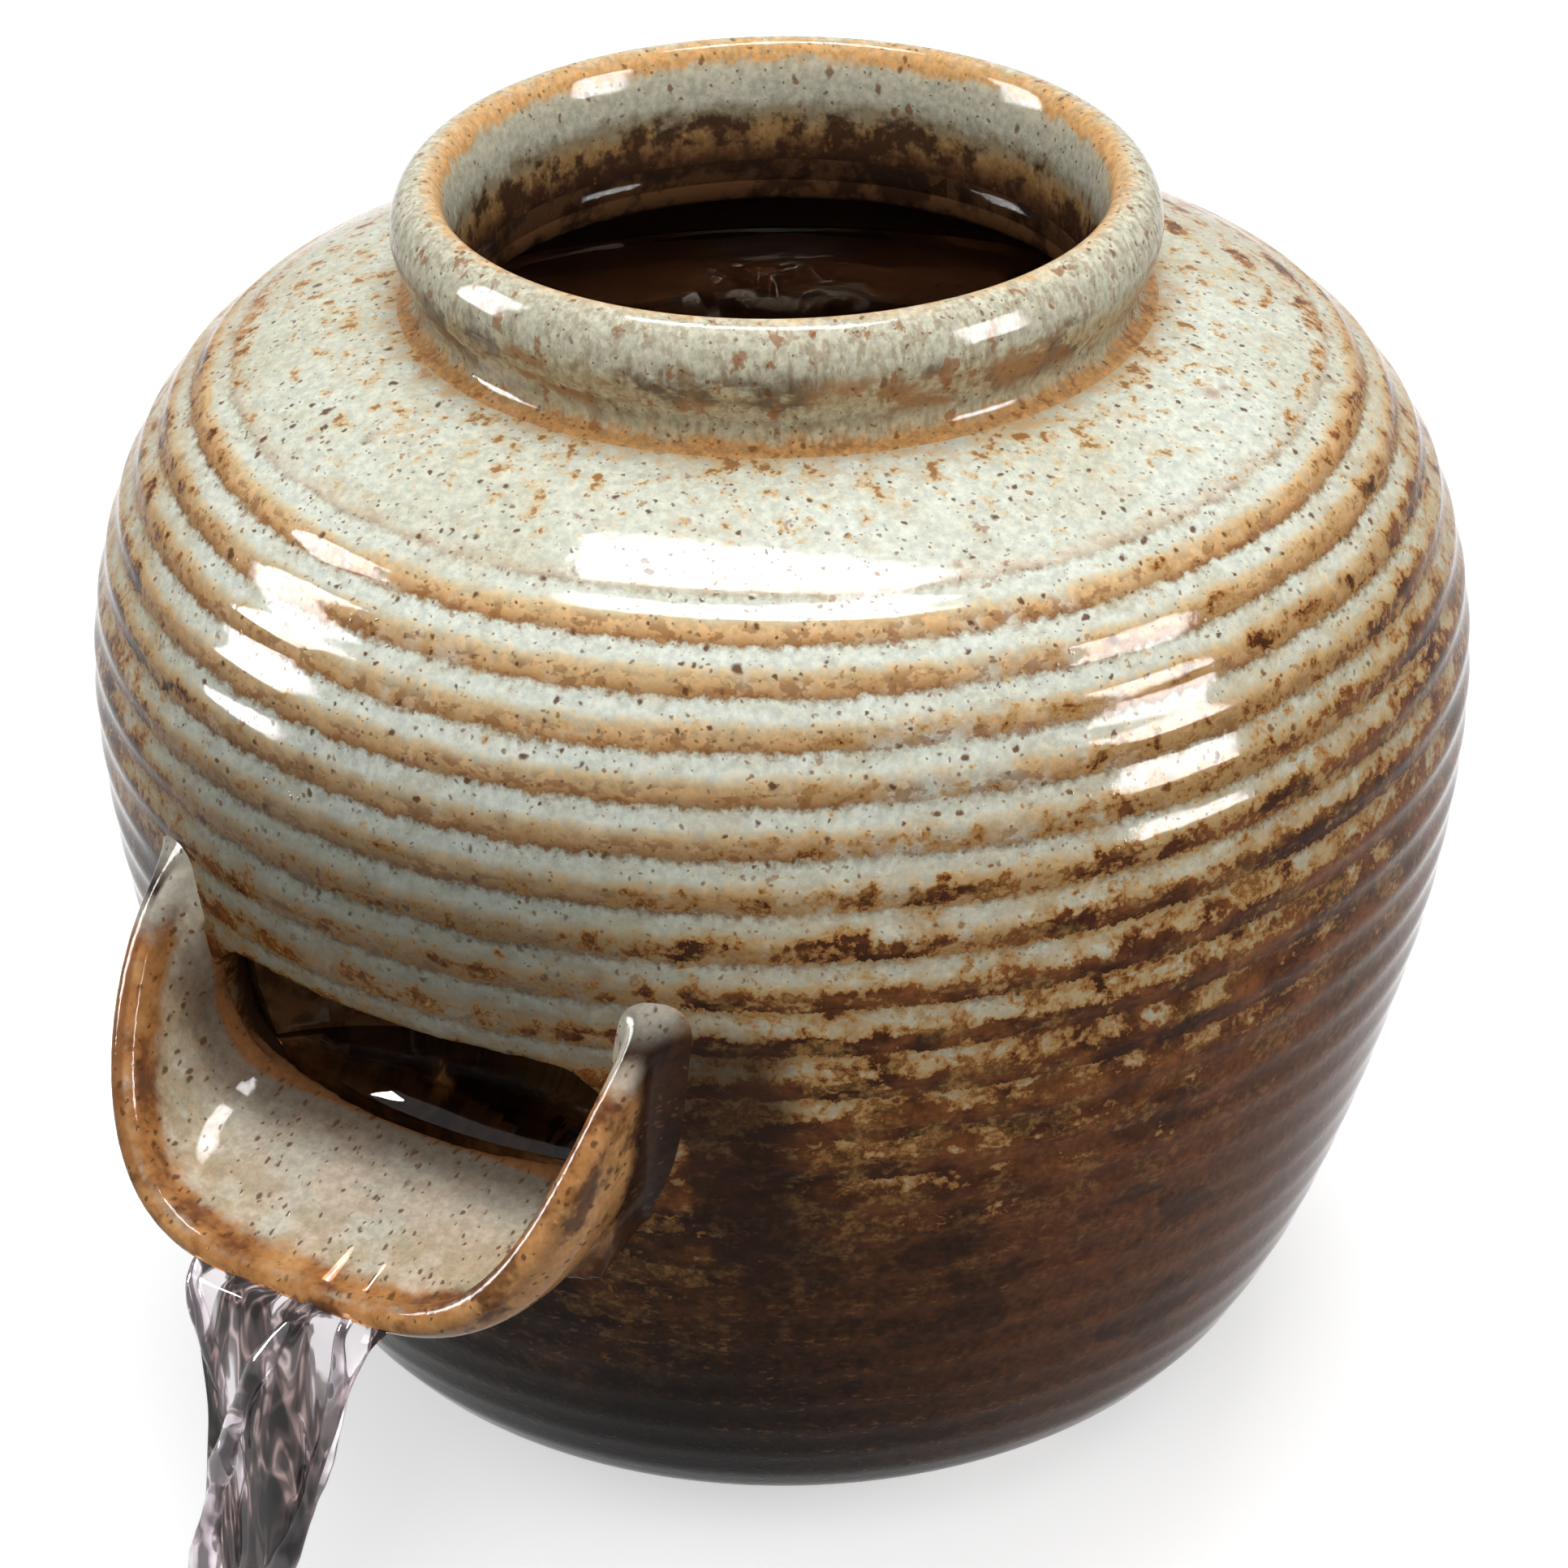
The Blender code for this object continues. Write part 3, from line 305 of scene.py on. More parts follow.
# %% [markdown]
# ## Meshes
#
# The jar and its rim were thrown on a wheel, so each is a profile turned round the axis. Here the turning
# is done in arrays: one ring of points for each point of the profile. A closed profile gives a closed skin
# with no poles. A smooth curve through a few measured points gives the profile.

# %% Helpers for lines


def smooth_curve(points, per_span):
    """A Catmull-Rom curve through points."""
    points = np.asarray(points, float)
    padded = np.vstack([2 * points[0] - points[1], points, 2 * points[-1] - points[-2]])
    curve = []
    for p0, p1, p2, p3 in zip(padded, padded[1:], padded[2:], padded[3:]):
        for t in np.linspace(0, 1, per_span, endpoint=False):
            curve.append((2 * p1 + (p2 - p0) * t + (2 * p0 - 5 * p1 + 4 * p2 - p3) * t ** 2
                          + (3 * p1 - p0 - 3 * p2 + p3) * t ** 3) / 2)
    return np.vstack([curve, points[-1]])


def run_of(points):
    """How far each point lies along the line through all of them."""
    return np.concatenate([[0], np.cumsum(np.linalg.norm(np.diff(points, axis=0), axis=1))])


def read_off(rows, run, wanted):
    """Rows of a table between its own, at the wanted runs."""
    return np.stack([np.interp(wanted, run, column) for column in rows.T], 1)


# %% Helpers for meshes


def shade_smooth(mesh):
    mesh.polygons.foreach_set("use_smooth", np.ones(len(mesh.polygons), bool))


def mesh_of(name, points, faces):
    mesh = bpy.data.meshes.new(name)
    mesh.from_pydata(np.asarray(points).tolist(), [], np.asarray(faces).tolist())
    mesh.validate()
    shade_smooth(mesh)
    mesh.update()
    return mesh


def mesh_from(bm, name):
    """A new mesh from a bmesh, which is freed."""
    mesh = bpy.data.meshes.new(name)
    bm.to_mesh(mesh)
    bm.free()
    return mesh


def numbered(points):
    return np.arange(points[..., 0].size).reshape(points.shape[:-1])


def ring_quads(number):
    """Quads between closed rings, each a row of point numbers."""
    after = np.roll(number, -1, axis=1)
    return np.stack([number[:-1], after[:-1], after[1:], number[1:]], -1).reshape(-1, 4)


def turned_mesh(name, profile, around):
    """A closed profile of (radius, height), given clockwise, turned round the jar's axis."""
    radius, height = np.asarray(profile, float).T
    turn = np.linspace(0, 2 * np.pi, around, endpoint=False)[:, None]
    points = np.stack([np.sin(turn) * radius, AXIS_Y - np.cos(turn) * radius, height + 0 * turn], -1)
    number = numbered(points)
    return mesh_of(name, points.reshape(-1, 3), ring_quads(np.vstack([number, number[:1]])))


def solid_of_rings(name, points):
    """A closed solid from rings of points, with one face over each end."""
    number = numbered(points)
    bm = bmesh.new()
    verts = [bm.verts.new(point) for point in points.reshape(-1, 3)]
    for face in (*ring_quads(number), number[0], number[-1]):
        bm.faces.new([verts[i] for i in face])
    bmesh.ops.recalc_face_normals(bm, faces=bm.faces)
    return mesh_from(bm, name)


def read_vectors(mesh, name):
    """Where the mesh's points are (co) or which way they face (normal)."""
    values = np.empty(len(mesh.vertices) * 3, np.float32)
    mesh.vertices.foreach_get(name, values)
    return values.reshape(-1, 3).astype(float)


def keep_value(mesh, name, values):
    """Stores a number or a vector at each point, for materials and Geometry Nodes to read."""
    values = np.asarray(values, np.float32)
    kind, key = ("FLOAT", "value") if values.ndim == 1 else ("FLOAT_VECTOR", "vector")
    mesh.attributes.new(name, kind, "POINT").data.foreach_set(key, values.ravel())


def relax(bm, verts, passes):
    """Moves points half way to the middle of their neighbours."""
    for _ in range(passes):
        bmesh.ops.smooth_vert(bm, verts=verts, factor=0.5, use_axis_x=True, use_axis_y=True, use_axis_z=True)


# %% Helpers that work modifiers into a plain mesh


def settle(item):
    """Replaces an object's mesh by what its modifiers make of it."""
    bpy.context.view_layer.update()
    made = bpy.data.meshes.new_from_object(item.evaluated_get(bpy.context.evaluated_depsgraph_get()))
    old = item.data
    item.modifiers.clear()
    item.data = made
    bpy.data.meshes.remove(old)
    made.name = item.name


def carve(item, cutters):
    """Cuts an object with pairs of a mesh and a Boolean operation."""
    tools = [add_object(mesh.name, mesh) for mesh, _ in cutters]
    for tool, (_, operation) in zip(tools, cutters):
        cut = item.modifiers.new(tool.name, "BOOLEAN")
        cut.object, cut.operation, cut.solver = tool, operation, "EXACT"
    settle(item)
    for tool in tools:
        bpy.data.objects.remove(tool)


def grow_with(item, tree, material, **numbers):
    """Runs a Geometry Nodes tree on an object and keeps the plain mesh."""
    modifier = item.modifiers.new(tree.name, "NODES")
    modifier.node_group = tree
    sockets = {part.name: part.identifier for part in tree.interface.items_tree if part.in_out == "INPUT"}
    modifier[sockets["Material"]] = material
    for label, value in numbers.items():
        modifier[sockets[label]] = value
    settle(item)
    shade_smooth(item.data)


# %% [markdown]
# ## The jar's profile
#
# The outline was measured from the photograph as shares of the height and of the bulge. Distances along it
# start at the neck and are called the run: the first ring of a throwing rib lies at a run of 28 mm.

# %% The jar's outline
FOOT_RADIUS, BELLY_RADIUS, NECK_RADIUS = 0.0423, 0.0799, 0.0398
BELLY_HEIGHT, NECK_HEIGHT = 0.0943, 0.1367
JAR_WALL, NECK_BORE, FOOT_BORE = 0.0055, 0.036, 0.0365
FLOOR_TOP, FLOOR_UNDER, FLOOR_HOLE = 0.045, 0.039, 0.0098
lower = zip((0, 0.043, 0.116, 0.232, 0.376, 0.537, 0.696, 0.856, 1),
            (0, 0.136, 0.375, 0.553, 0.699, 0.827, 0.928, 0.987, 1))
upper = zip((0.29, 0.55, 0.774, 0.925, 1), (0.953, 0.845, 0.646, 0.33, 0))
measured = [(FOOT_RADIUS + r * (BELLY_RADIUS - FOOT_RADIUS), h * BELLY_HEIGHT) for h, r in lower]
measured += [(NECK_RADIUS + r * (BELLY_RADIUS - NECK_RADIUS), BELLY_HEIGHT + h * (NECK_HEIGHT - BELLY_HEIGHT))
             for h, r in upper]
OUTLINE = smooth_curve(measured[::-1], 24)
RUN = run_of(OUTLINE)
SLOPE = np.gradient(OUTLINE, RUN, axis=0)
SLOPE /= np.hypot(*SLOPE.T)[:, None]
print("the wall's run from neck to foot is", round(RUN[-1] * 1000, 1), "mm")


def on_outline(run, out=0.0):
    """The outline's (radius, height) at each run, moved out of the wall."""
    d_radius, d_height = read_off(SLOPE, RUN, run).T
    return read_off(OUTLINE, RUN, run) + np.stack([-d_height * out, d_radius * out], -1)


def inner_curve(high, low, count, wall=JAR_WALL):
    """The wall's inner face from height high down to height low."""
    runs = np.linspace(0, RUN[-1], 600)
    face = on_outline(runs, -wall)
    inside = np.flatnonzero((face[:, 1] <= high) & (face[:, 1] >= low))
    return on_outline(np.linspace(runs[inside[0]], runs[inside[-1]], count), -wall)


# %% [markdown]
# ## The jar without ribs
#
# One closed skin: down the outside, round the foot, up the hollow under the raised floor, through the
# tube's hole and up the chamber to the neck. Sharp turns of the profile get a small arc, as fired clay has.

# %% Turn the jar
AROUND = 224
RIB_PITCH = 0.0058
NEAR_FOOT = 0.0022
outer = on_outline(np.arange(0, RUN[-1] - NEAR_FOOT, RIB_PITCH / 8))


def rounded(corner, before, after, radius, count=4):
    """A few points of an arc in place of a corner."""
    corner, before, after = (np.asarray(p, float) for p in (corner, before, after))
    start = corner + (before - corner) / np.linalg.norm(before - corner) * radius
    end = corner + (after - corner) / np.linalg.norm(after - corner) * radius
    t = np.linspace(0, 1, count)[:, None]
    return (1 - t) ** 2 * start + 2 * t * (1 - t) * corner + t ** 2 * end


well = inner_curve(FLOOR_UNDER, 0.004, 14)[::-1]
well = well[well[:, 0] > FOOT_BORE]
chamber_face = inner_curve(NECK_HEIGHT - JAR_WALL * 1.15, FLOOR_TOP, 40)[::-1]
hole_low, hole_high = (FLOOR_HOLE, FLOOR_UNDER), (FLOOR_HOLE, FLOOR_TOP)
beyond_hole = FLOOR_HOLE + 0.02
profile = [
    outer,
    rounded((FOOT_RADIUS, 0), outer[-1], (FOOT_BORE, 0), 0.0016, 5),
    rounded((FOOT_BORE, 0), (FOOT_RADIUS, 0), (FOOT_BORE, 0.01), 0.0014),
    well,
    rounded(hole_low, (beyond_hole, FLOOR_UNDER), hole_high, 0.001, 3),
    rounded(hole_high, hole_low, (beyond_hole, FLOOR_TOP), 0.001, 3),
    [(FLOOR_HOLE + 0.016, FLOOR_TOP), (FLOOR_HOLE + 0.03, FLOOR_TOP)],
    chamber_face,
    rounded((NECK_BORE, NECK_HEIGHT - JAR_WALL), chamber_face[-1], (NECK_BORE, NECK_HEIGHT), 0.0018),
    [(NECK_BORE, NECK_HEIGHT), (NECK_RADIUS, NECK_HEIGHT)],
]
profile = np.vstack([np.asarray(part, float).reshape(-1, 2) for part in profile])
profile = profile[np.hypot(*(profile - np.roll(profile, 1, axis=0)).T) > 0.00005]
jar = add_object("glazed_jar", turned_mesh("glazed_jar", profile, AROUND))
print("turned jar:", len(jar.data.polygons), "faces")

# %% [markdown]
# ## Slot and notches
#
# The wall is cut while the clay is leather hard: a wide slot behind the scoop and three small notches in
# the foot. A cutter is a prism with many short steps along its length, so that the cut's wall gets points
# of its own, and its edges can be wiped round afterwards as a potter does with a sponge.

# %% Helpers for prisms
CUT_STEP = 0.0012


def prism(name, outline, near, far, turn):
    """A closed prism from a distance near to far, out from the jar's axis. Outline is (across, z) points."""
    ends = np.arange(near, far, CUT_STEP)
    points = np.zeros((len(ends), len(outline), 3))
    points[:, :, 0], points[:, :, 2] = outline[None, :, 0], outline[None, :, 1]
    points[:, :, 1] = -ends[:, None]
    mesh = solid_of_rings(name, points)
    mesh.transform(Matrix.Translation(AXIS) @ Matrix.Rotation(math.radians(turn), 4, "Z"))
    return mesh


def rounded_window(half_width, low, high, corner):
    """The outline of a window with round corners, in even steps."""
    dense = []
    for x, z, start in ((1, high, 0), (-1, high, 90), (-1, low, 180), (1, low, 270)):
        middle_z = z - corner if z == high else z + corner
        for turn in np.radians(np.linspace(start, start + 90, 12)):
            dense.append((x * (half_width - corner) + corner * math.cos(turn),
                          middle_z + corner * math.sin(turn)))
    dense = np.array(dense + dense[:1])
    run = run_of(dense)
    return read_off(dense, run, np.linspace(0, run[-1], int(run[-1] / CUT_STEP), endpoint=False))


# %% Cut the slot and the notches
SLOT_HALF, SLOT_LOW, SLOT_TOP, SLOT_CORNER = 0.0278, 0.06, 0.08, 0.0085
NOTCH_HALF, NOTCH_CORNER = 0.007, 0.002
notch = rounded_window(NOTCH_HALF, -NOTCH_HALF, NOTCH_HALF, NOTCH_CORNER)
cutters = [prism("slot", rounded_window(SLOT_HALF, SLOT_LOW, SLOT_TOP, SLOT_CORNER), 0.056, 0.086, 0)]
cutters += [prism(f"notch_{angle}", notch, 0.034, 0.056, angle) for angle in (90, 180, 270)]
carve(jar, [(cutter, "DIFFERENCE") for cutter in cutters])
print("after the cuts:", len(jar.data.polygons), "faces")

# %% Wipe the cut edges round
SLOT_NEAR, NOTCH_NEAR = 0.0016, 0.0095


def wipe_edges(mesh, near, passes):
    """Relaxes the points for which near is true."""
    bm = bmesh.new()
    bm.from_mesh(mesh)
    bmesh.ops.remove_doubles(bm, verts=bm.verts, dist=0.00002)
    chosen = [vert for vert in bm.verts if near(vert.co)]
    relax(bm, chosen, passes)
    bm.to_mesh(mesh)
    bm.free()
    return len(chosen)


def near_slot(co):
    sideways = abs(co.x) - SLOT_HALF
    upwards = abs(co.z - (SLOT_TOP + SLOT_LOW) / 2) - (SLOT_TOP - SLOT_LOW) / 2
    return (co.y < AXIS_Y - 0.04 and max(sideways, upwards) < SLOT_NEAR
            and min(-sideways, -upwards) < SLOT_NEAR)


def near_notch(co):
    return co.z < NOTCH_NEAR and (abs(co.x) < NOTCH_NEAR and co.y > AXIS_Y or abs(co.y - AXIS_Y) < NOTCH_NEAR)


print("points wiped:", wipe_edges(jar.data, near_slot, 4), wipe_edges(jar.data, near_notch, 2))

# %% [markdown]
# ## Throwing ribs
#
# Fingers left a spiral of ribs as the jar turned. Each rib follows one rule, so Geometry Nodes make them: a
# point of the outer face moves in or out by where its run lies between two ribs. The rib is not a plain
# wave. Its upper flank is long and gentle and its lower flank short, with a crisp valley below the crest.

# %% Tell every point its run
FLOW_RADIUS = 0.06


def jar_places(points):
    """For points of the jar: the nearest run of the outline, the distance from it and the azimuth."""
    radius = np.hypot(points[:, 0], points[:, 1] - AXIS_Y)
    height = points[:, 2]
    best, run = np.full(len(points), 1.0), np.zeros(len(points))
    for (r0, z0), (r1, z1), s0 in zip(OUTLINE, OUTLINE[1:], RUN):
        span = np.hypot(r1 - r0, z1 - z0)
        share = np.clip(((radius - r0) * (r1 - r0) + (height - z0) * (z1 - z0)) / span ** 2, 0, 1)
        away = np.hypot(radius - r0 - share * (r1 - r0), height - z0 - share * (z1 - z0))
        closer = away < best
        best[closer], run[closer] = away[closer], s0 + share[closer] * span
    return run, best, np.arctan2(points[:, 0], AXIS_Y - points[:, 1])


def keep_flow(mesh):
    """Stores the run and a seamless place, whose direction is the azimuth and whose height is the run."""
    points = read_vectors(mesh, "co")
    run, away, azimuth = jar_places(points)
    keep_value(mesh, "run", run)
    keep_value(mesh, "flow", np.stack([FLOW_RADIUS * np.cos(azimuth), FLOW_RADIUS * np.sin(azimuth), run], 1))
    return points, run, away, azimuth


# the ribs fade out in a box round the scoop's root and the slot, and at the foot
BOX_HALF, BOX_MIDDLE, BOX_HALF_HEIGHT, BOX_FADE = 0.036, 0.067, 0.017, 0.008
points, run, away, azimuth = keep_flow(jar.data)
d_radius, d_height = read_off(SLOPE, RUN, run).T
keep_value(jar.data, "outwards",
           np.stack([-d_height * np.sin(azimuth), d_height * np.cos(azimuth), d_radius], 1))
box_away = np.maximum(np.abs(points[:, 0]) - BOX_HALF, np.abs(points[:, 2] - BOX_MIDDLE) - BOX_HALF_HEIGHT)
box_away[points[:, 1] > AXIS_Y] = 1
free = np.clip(box_away / BOX_FADE, 0, 1)
free = free ** 2 * (3 - 2 * free)
keep_value(jar.data, "outer", np.clip(1.5 - away / 0.0006, 0, 1) * (run < RUN[-1] - 0.001) * free)
keep_value(jar.data, "inner", np.clip((away - 0.002) / 0.0015, 0, 1))
print("points on the outer face:", int((away < 0.0002).sum()), "of", len(points))

# %% The rib tree
ribs, given = new_tree("throwing ribs", ("First valley", 0.0296), ("Rib pitch", RIB_PITCH),
                       ("Relief", 0.0007), ("Unevenness", 0.0013), ("Seed", 11))
run_here = named(ribs, "run")
wander = (seeded_noise(named(ribs, "flow", "FLOAT_VECTOR"), 26, given["Seed"]) - 0.5) * given["Unevenness"]
count = (run_here - given["First valley"] + wander) / given["Rib pitch"]
stored = step(ribs, "GeometryNodeStoreNamedAttribute", 0,
              {"Geometry": given["Geometry"], "Name": "rib_count", "Value": count},
              data_type="FLOAT", domain="POINT")
part_way = reckon("POWER", reckon("FRACT", count), 1.35)
wave = reckon("COSINE", part_way * math.tau) * -0.5
depth = graded(run_here, 0.0235, 0.0275) * graded(run_here, 0.06, 0.105, 1.0, 0.16) * named(ribs, "outer")
offset = scaled(named(ribs, "outwards", "FLOAT_VECTOR"), wave * given["Relief"] * depth)
end_tree(moved(stored, offset), given)

# %% [markdown]
# ## The jar's glaze
#
# A celadon glaze thins over the ribs' crests, where iron in the clay breaks through in yellow, orange and
# dark brown, and a second, browner glaze runs up from below. All of it follows the ribs and the height, so
# the nodes read the stored run and rib count, and take the azimuth from the stored flow. Noise on the
# object's own coordinates makes each border ragged, as crystals and drips do.

# %% What all glazes share
CELADON = (0.72, 0.75, 0.66)
ORANGE = (0.79, 0.5, 0.245)
RUST = (0.34, 0.135, 0.045)
BROWN, REDDISH_BROWN = (0.225, 0.078, 0.022), (0.33, 0.112, 0.036)
UMBER, REDDISH_UMBER = (0.022, 0.01, 0.005), (0.235, 0.078, 0.025)
NEAR_BLACK = (0.006, 0.003, 0.001)
# the dark valley colours are painted shade in the ribs' valleys
VALLEY_SHADE, DEEP_VALLEY_SHADE = (0.36, 0.185, 0.078), (0.15, 0.06, 0.023)
GLOSS = 0.035           # specular level of every outer glaze: dark areas stay dark on a white ground
SHAKE = 0.0012          # how coarse the noise is that makes specks ragged


def glaze_skin(tree, shader, height, base=0.03):
    """Orange-peel bump and a slightly varied gloss, which every glazed surface has."""
    place = object_place(tree)
    pits = specks(place, 0.003, 0.00028, 0.25)
    bumped(tree, shader, noise(place, 0.0013, 2) * 0.35 + height - pits * 0.5, 0.24, 0.00024)
    feed(shader["Roughness"], noise(place, 0.006) * 0.06 + base)


def most(one, two):
    return reckon("MAXIMUM", one, two)


# %% Mix the jar's glaze: where each change happens
jar_glaze, tree, shader = new_finish("celadon_over_iron_brown", Specular_IOR_Level=GLOSS)
place, flow = object_place(tree), attribute(tree, "flow", "Vector")
x_here, y_here, z_here = split(place)
turned_x, turned_y, _ = split(flow)
run, around = attribute(tree, "run"), reckon("ARCTAN2", turned_y, turned_x)
grain_fine, grain = noise(place, 0.0011, 3, 0.65), noise(place, 0.0034, 4, 0.62)
cloud = noise(place, 0.035, 2)
# patches are longer round the jar than down it
flat = stretched(flow, 1, 1, 1.3)
patches, wide = noise(flat, 0.0068, 5, 0.66, 0.8), noise(flat, 0.03, 2)

# how far down the glaze is in its change from celadon to brown: -1 above it, 0 in the middle, 1 below it
BELT_MIDDLE, BELT_TILT, BELT_HALF, SLOT_DROP, LEFT_RISE = 0.0515, 0.025, 0.018, 0.015, 0.013
by_slot = reckon("EXPONENT", reckon("POWER", around * around * 4.5, 2.0) * -1.0)
from_left = around + 0.96
on_left = reckon("EXPONENT", from_left * from_left * -5.0)
edge_run = reckon("COSINE", around - math.radians(18)) * BELT_TILT + BELT_MIDDLE + by_slot * SLOT_DROP
belt = (run - (edge_run - on_left * LEFT_RISE)) / BELT_HALF
rib_share = reckon("FRACT", centred(grain_fine, 0.34, centred(grain, 0.3, attribute(tree, "rib_count"))))
change = centred(grain_fine, 2.4, centred(grain, 4.0, centred(patches, 5.0, belt)))
change = centred(rise(rib_share, 0.4, 0.7), 1.1, change)

# %% The celadon part: pale upper flanks, straw to orange crests, and a dark line of painted shade in each valley
on_ribs = rise(grain * 0.005 + run, 0.0235, 0.03)
upper_bands = ramp(rib_share, (0.0, VALLEY_SHADE), (0.05, (0.52, 0.47, 0.35)), (0.13, CELADON), (0.4, CELADON),
                   (0.52, (0.7, 0.61, 0.42)), (0.64, (0.73, 0.52, 0.28)), (0.8, ORANGE),
                   (0.93, (0.56, 0.3, 0.12)), (1.0, VALLEY_SHADE))
lower_bands = ramp(rib_share, (0.0, DEEP_VALLEY_SHADE), (0.06, (0.42, 0.37, 0.26)), (0.15, (0.66, 0.67, 0.55)),
                   (0.36, (0.64, 0.61, 0.46)), (0.48, (0.64, 0.44, 0.21)), (0.6, (0.69, 0.385, 0.15)),
                   (0.8, (0.57, 0.275, 0.092)), (0.92, (0.26, 0.098, 0.032)), (1.0, DEEP_VALLEY_SHADE))
banded = tint(rise(centred(patches, 4.0, belt), -2.6, -0.4), upper_bands, lower_bands)
pale = tint(rise(cloud, 0.3, 0.7), CELADON, (0.62, 0.62, 0.49))
pale = tint(on_ribs * rise(centred(grain, 0.8, wide), 0.1, 0.46), pale, banded)
pale = tint(blobs(flat, 0.006, 0.5, 0.64, roughness=0.65) * 0.28, pale, (0.56, 0.45, 0.26))
pale = mottled(pale, grain_fine, 0.86, 1.15)

# %% Rust spots, dashes under the crests, dark specks of iron and the halo at the neck
ragged = shaken(place, SHAKE, 0.0012)
spots = most(specks(ragged, 0.0052, 0.0015, 0.2, 0.1), blobs(place, 0.0024, 0.655, 0.7, 3))
pale = tint(spots * 0.62, pale, RUST)
dashes = blobs(flat, 0.0021, 0.51, 0.59, 3, 0.62) * rise(rib_share, 0.54, 0.8) * on_ribs
pale = tint(dashes * 0.58, pale, (0.26, 0.098, 0.03))
iron_fine = specks(ragged, 0.00104, 0.0003, 0.82)
iron_large = most(specks(ragged, 0.002, 0.00048, 0.66), specks(ragged, 0.0042, 0.00072, 0.42))
pale = tint(iron_fine * 0.8, pale, (0.24, 0.125, 0.055))
pale = tint(iron_large * 0.92, pale, (0.13, 0.054, 0.02))
near_neck = centred(grain, 0.012, run)
halo = rise(near_neck, 0.0066, 0.0028) * rise(grain_fine, 0.3, 0.55)
pale = tint(halo * 0.75, pale, (0.6, 0.34, 0.13))
rusting = centred(grain_fine, 0.3, noise(ragged, 0.0028, 3, 0.6)) - rise(near_neck, 0.005, 0.025) * 0.15
pale = tint(rise(rusting, 0.49, 0.6) * 0.7, pale, (0.66, 0.46, 0.215))
pale = tint(rise(rusting, 0.58, 0.66) * 0.88, pale, (0.31, 0.135, 0.04))
golden = blobs(flat, 0.004, 0.42, 0.56, 4, 0.66) * 0.62 + 0.22
golden *= rise(centred(patches, 2.4, belt), -1.8, 0.3)
pale = tint(golden, pale, tint(rise(grain, 0.38, 0.62), (0.62, 0.41, 0.17), (0.42, 0.215, 0.07)))
# painted shade above the slot: the celadon there is darkened and greyed
shade = rise(centred(grain, 0.008, run), 0.042, 0.066) * by_slot * -0.46 + 1.0
pale = tint(shade * -0.7 + 0.7, scaled(pale, shade), (0.15, 0.16, 0.135))

# %% The brown part: reddish, with gold flecks on the crests and painted shade in the valleys; darker towards the left and the foot
# the brown is lighter and redder towards the right and darker towards the left and the foot: partly the
# glaze's own tone, partly painted light and shade
on_right = rise(reckon("SINE", around - math.radians(42)), -0.45, 0.6)
brown = tint(blobs(flat, 0.007, 0.38, 0.62), tint(on_right, BROWN, REDDISH_BROWN),
             tint(on_right, (0.058, 0.02, 0.008), (0.11, 0.034, 0.012)))
dark = tint(on_right, UMBER, REDDISH_UMBER)
dark = tint(rise(grain, 0.48, 0.64) * (0.68 - on_right * 0.4), dark, (0.014, 0.006, 0.002))
dark = tint(rise(run, 0.115, 0.165) * (0.95 - on_right * 0.6), dark, NEAR_BLACK)
brown = tint(rise(belt, 0.3, 2.8), brown, dark)
# off the crests the brown is darkened: painted shade in the ribs' valleys
crest = rise(rib_share, 0.3, 0.6) * rise(rib_share, 1.0, 0.8)
brown = tint((1.0 - crest) * 0.24, brown, NEAR_BLACK)
flecks = blobs(stretched(flow, 1, 1, 2.2), 0.0016, 0.58, 0.66, 3) * rise(wide, 0.3, 0.6) * (crest * 0.7 + 0.3)
brown = tint(flecks * 0.7, brown, (0.36, 0.15, 0.042))
moss = blobs(flat, 0.0046, 0.5, 0.58, 5, 0.68) * rise(belt, 2.8, 0.3)
brown = tint(moss * 0.8, brown, tint(rise(grain_fine, 0.4, 0.6), (0.19, 0.098, 0.03), (0.42, 0.22, 0.07)))
brown = tint(blobs(stretched(flow, 1, 1, 1.4), 0.013, 0.57, 0.63) * 0.55, brown, (0.022, 0.009, 0.006))

# between the two, ragged patches whose rims run from straw through orange to brown
share = change * 0.25 + 0.5
rims = ramp(share, (0.32, (0.58, 0.38, 0.16)), (0.43, (0.48, 0.235, 0.074)), (0.5, (0.26, 0.1, 0.03)),
            (0.56, (0.09, 0.032, 0.012)))
# the painted shade above the slot darkens the patches' rims too
colour = tint(rise(share, 0.24, 0.42), pale, scaled(rims, shade))
colour = tint(rise(share, 0.5, 0.545), colour, mottled(brown, grain_fine, 0.72, 1.22))

# beside the scoop's walls the jar is darkened almost black: painted shade in the crease where they meet
across = centred(grain, 0.006, reckon("ABSOLUTE", x_here))
crease_shade = rise(across, 0.047, 0.042) * rise(across, 0.033, 0.0345)
crease_shade *= rise(centred(grain, 0.008, z_here), 0.048, 0.056) * rise(z_here, 0.088, 0.083)
colour = tint(crease_shade * reckon("LESS_THAN", y_here, AXIS_Y) * 0.8, colour, (0.032, 0.013, 0.008))

# %% Inside and under the jar: amber and dark brown in the chamber, bare clay in the hollow foot
amber = tint(blobs(place, 0.006, 0.44, 0.58, 4, 0.62), (0.13, 0.06, 0.026), (0.04, 0.019, 0.011))
chamber_colour = tint(rise(centred(grain, 0.01, z_here), 0.134, 0.122), amber, (0.045, 0.022, 0.013))
bare_clay = tint(rise(grain, 0.35, 0.65), (0.36, 0.25, 0.16), (0.27, 0.17, 0.1))
bare_clay = mottled(bare_clay, grain_fine, 0.85, 1.1)
hidden = tint(rise(z_here, 0.04, 0.042), bare_clay, chamber_colour)
feed(shader["Base Color"], tint(attribute(tree, "inner"), colour, hidden))
glaze_skin(tree, shader, most(iron_fine, iron_large) * 0.2 + patches * 0.6)
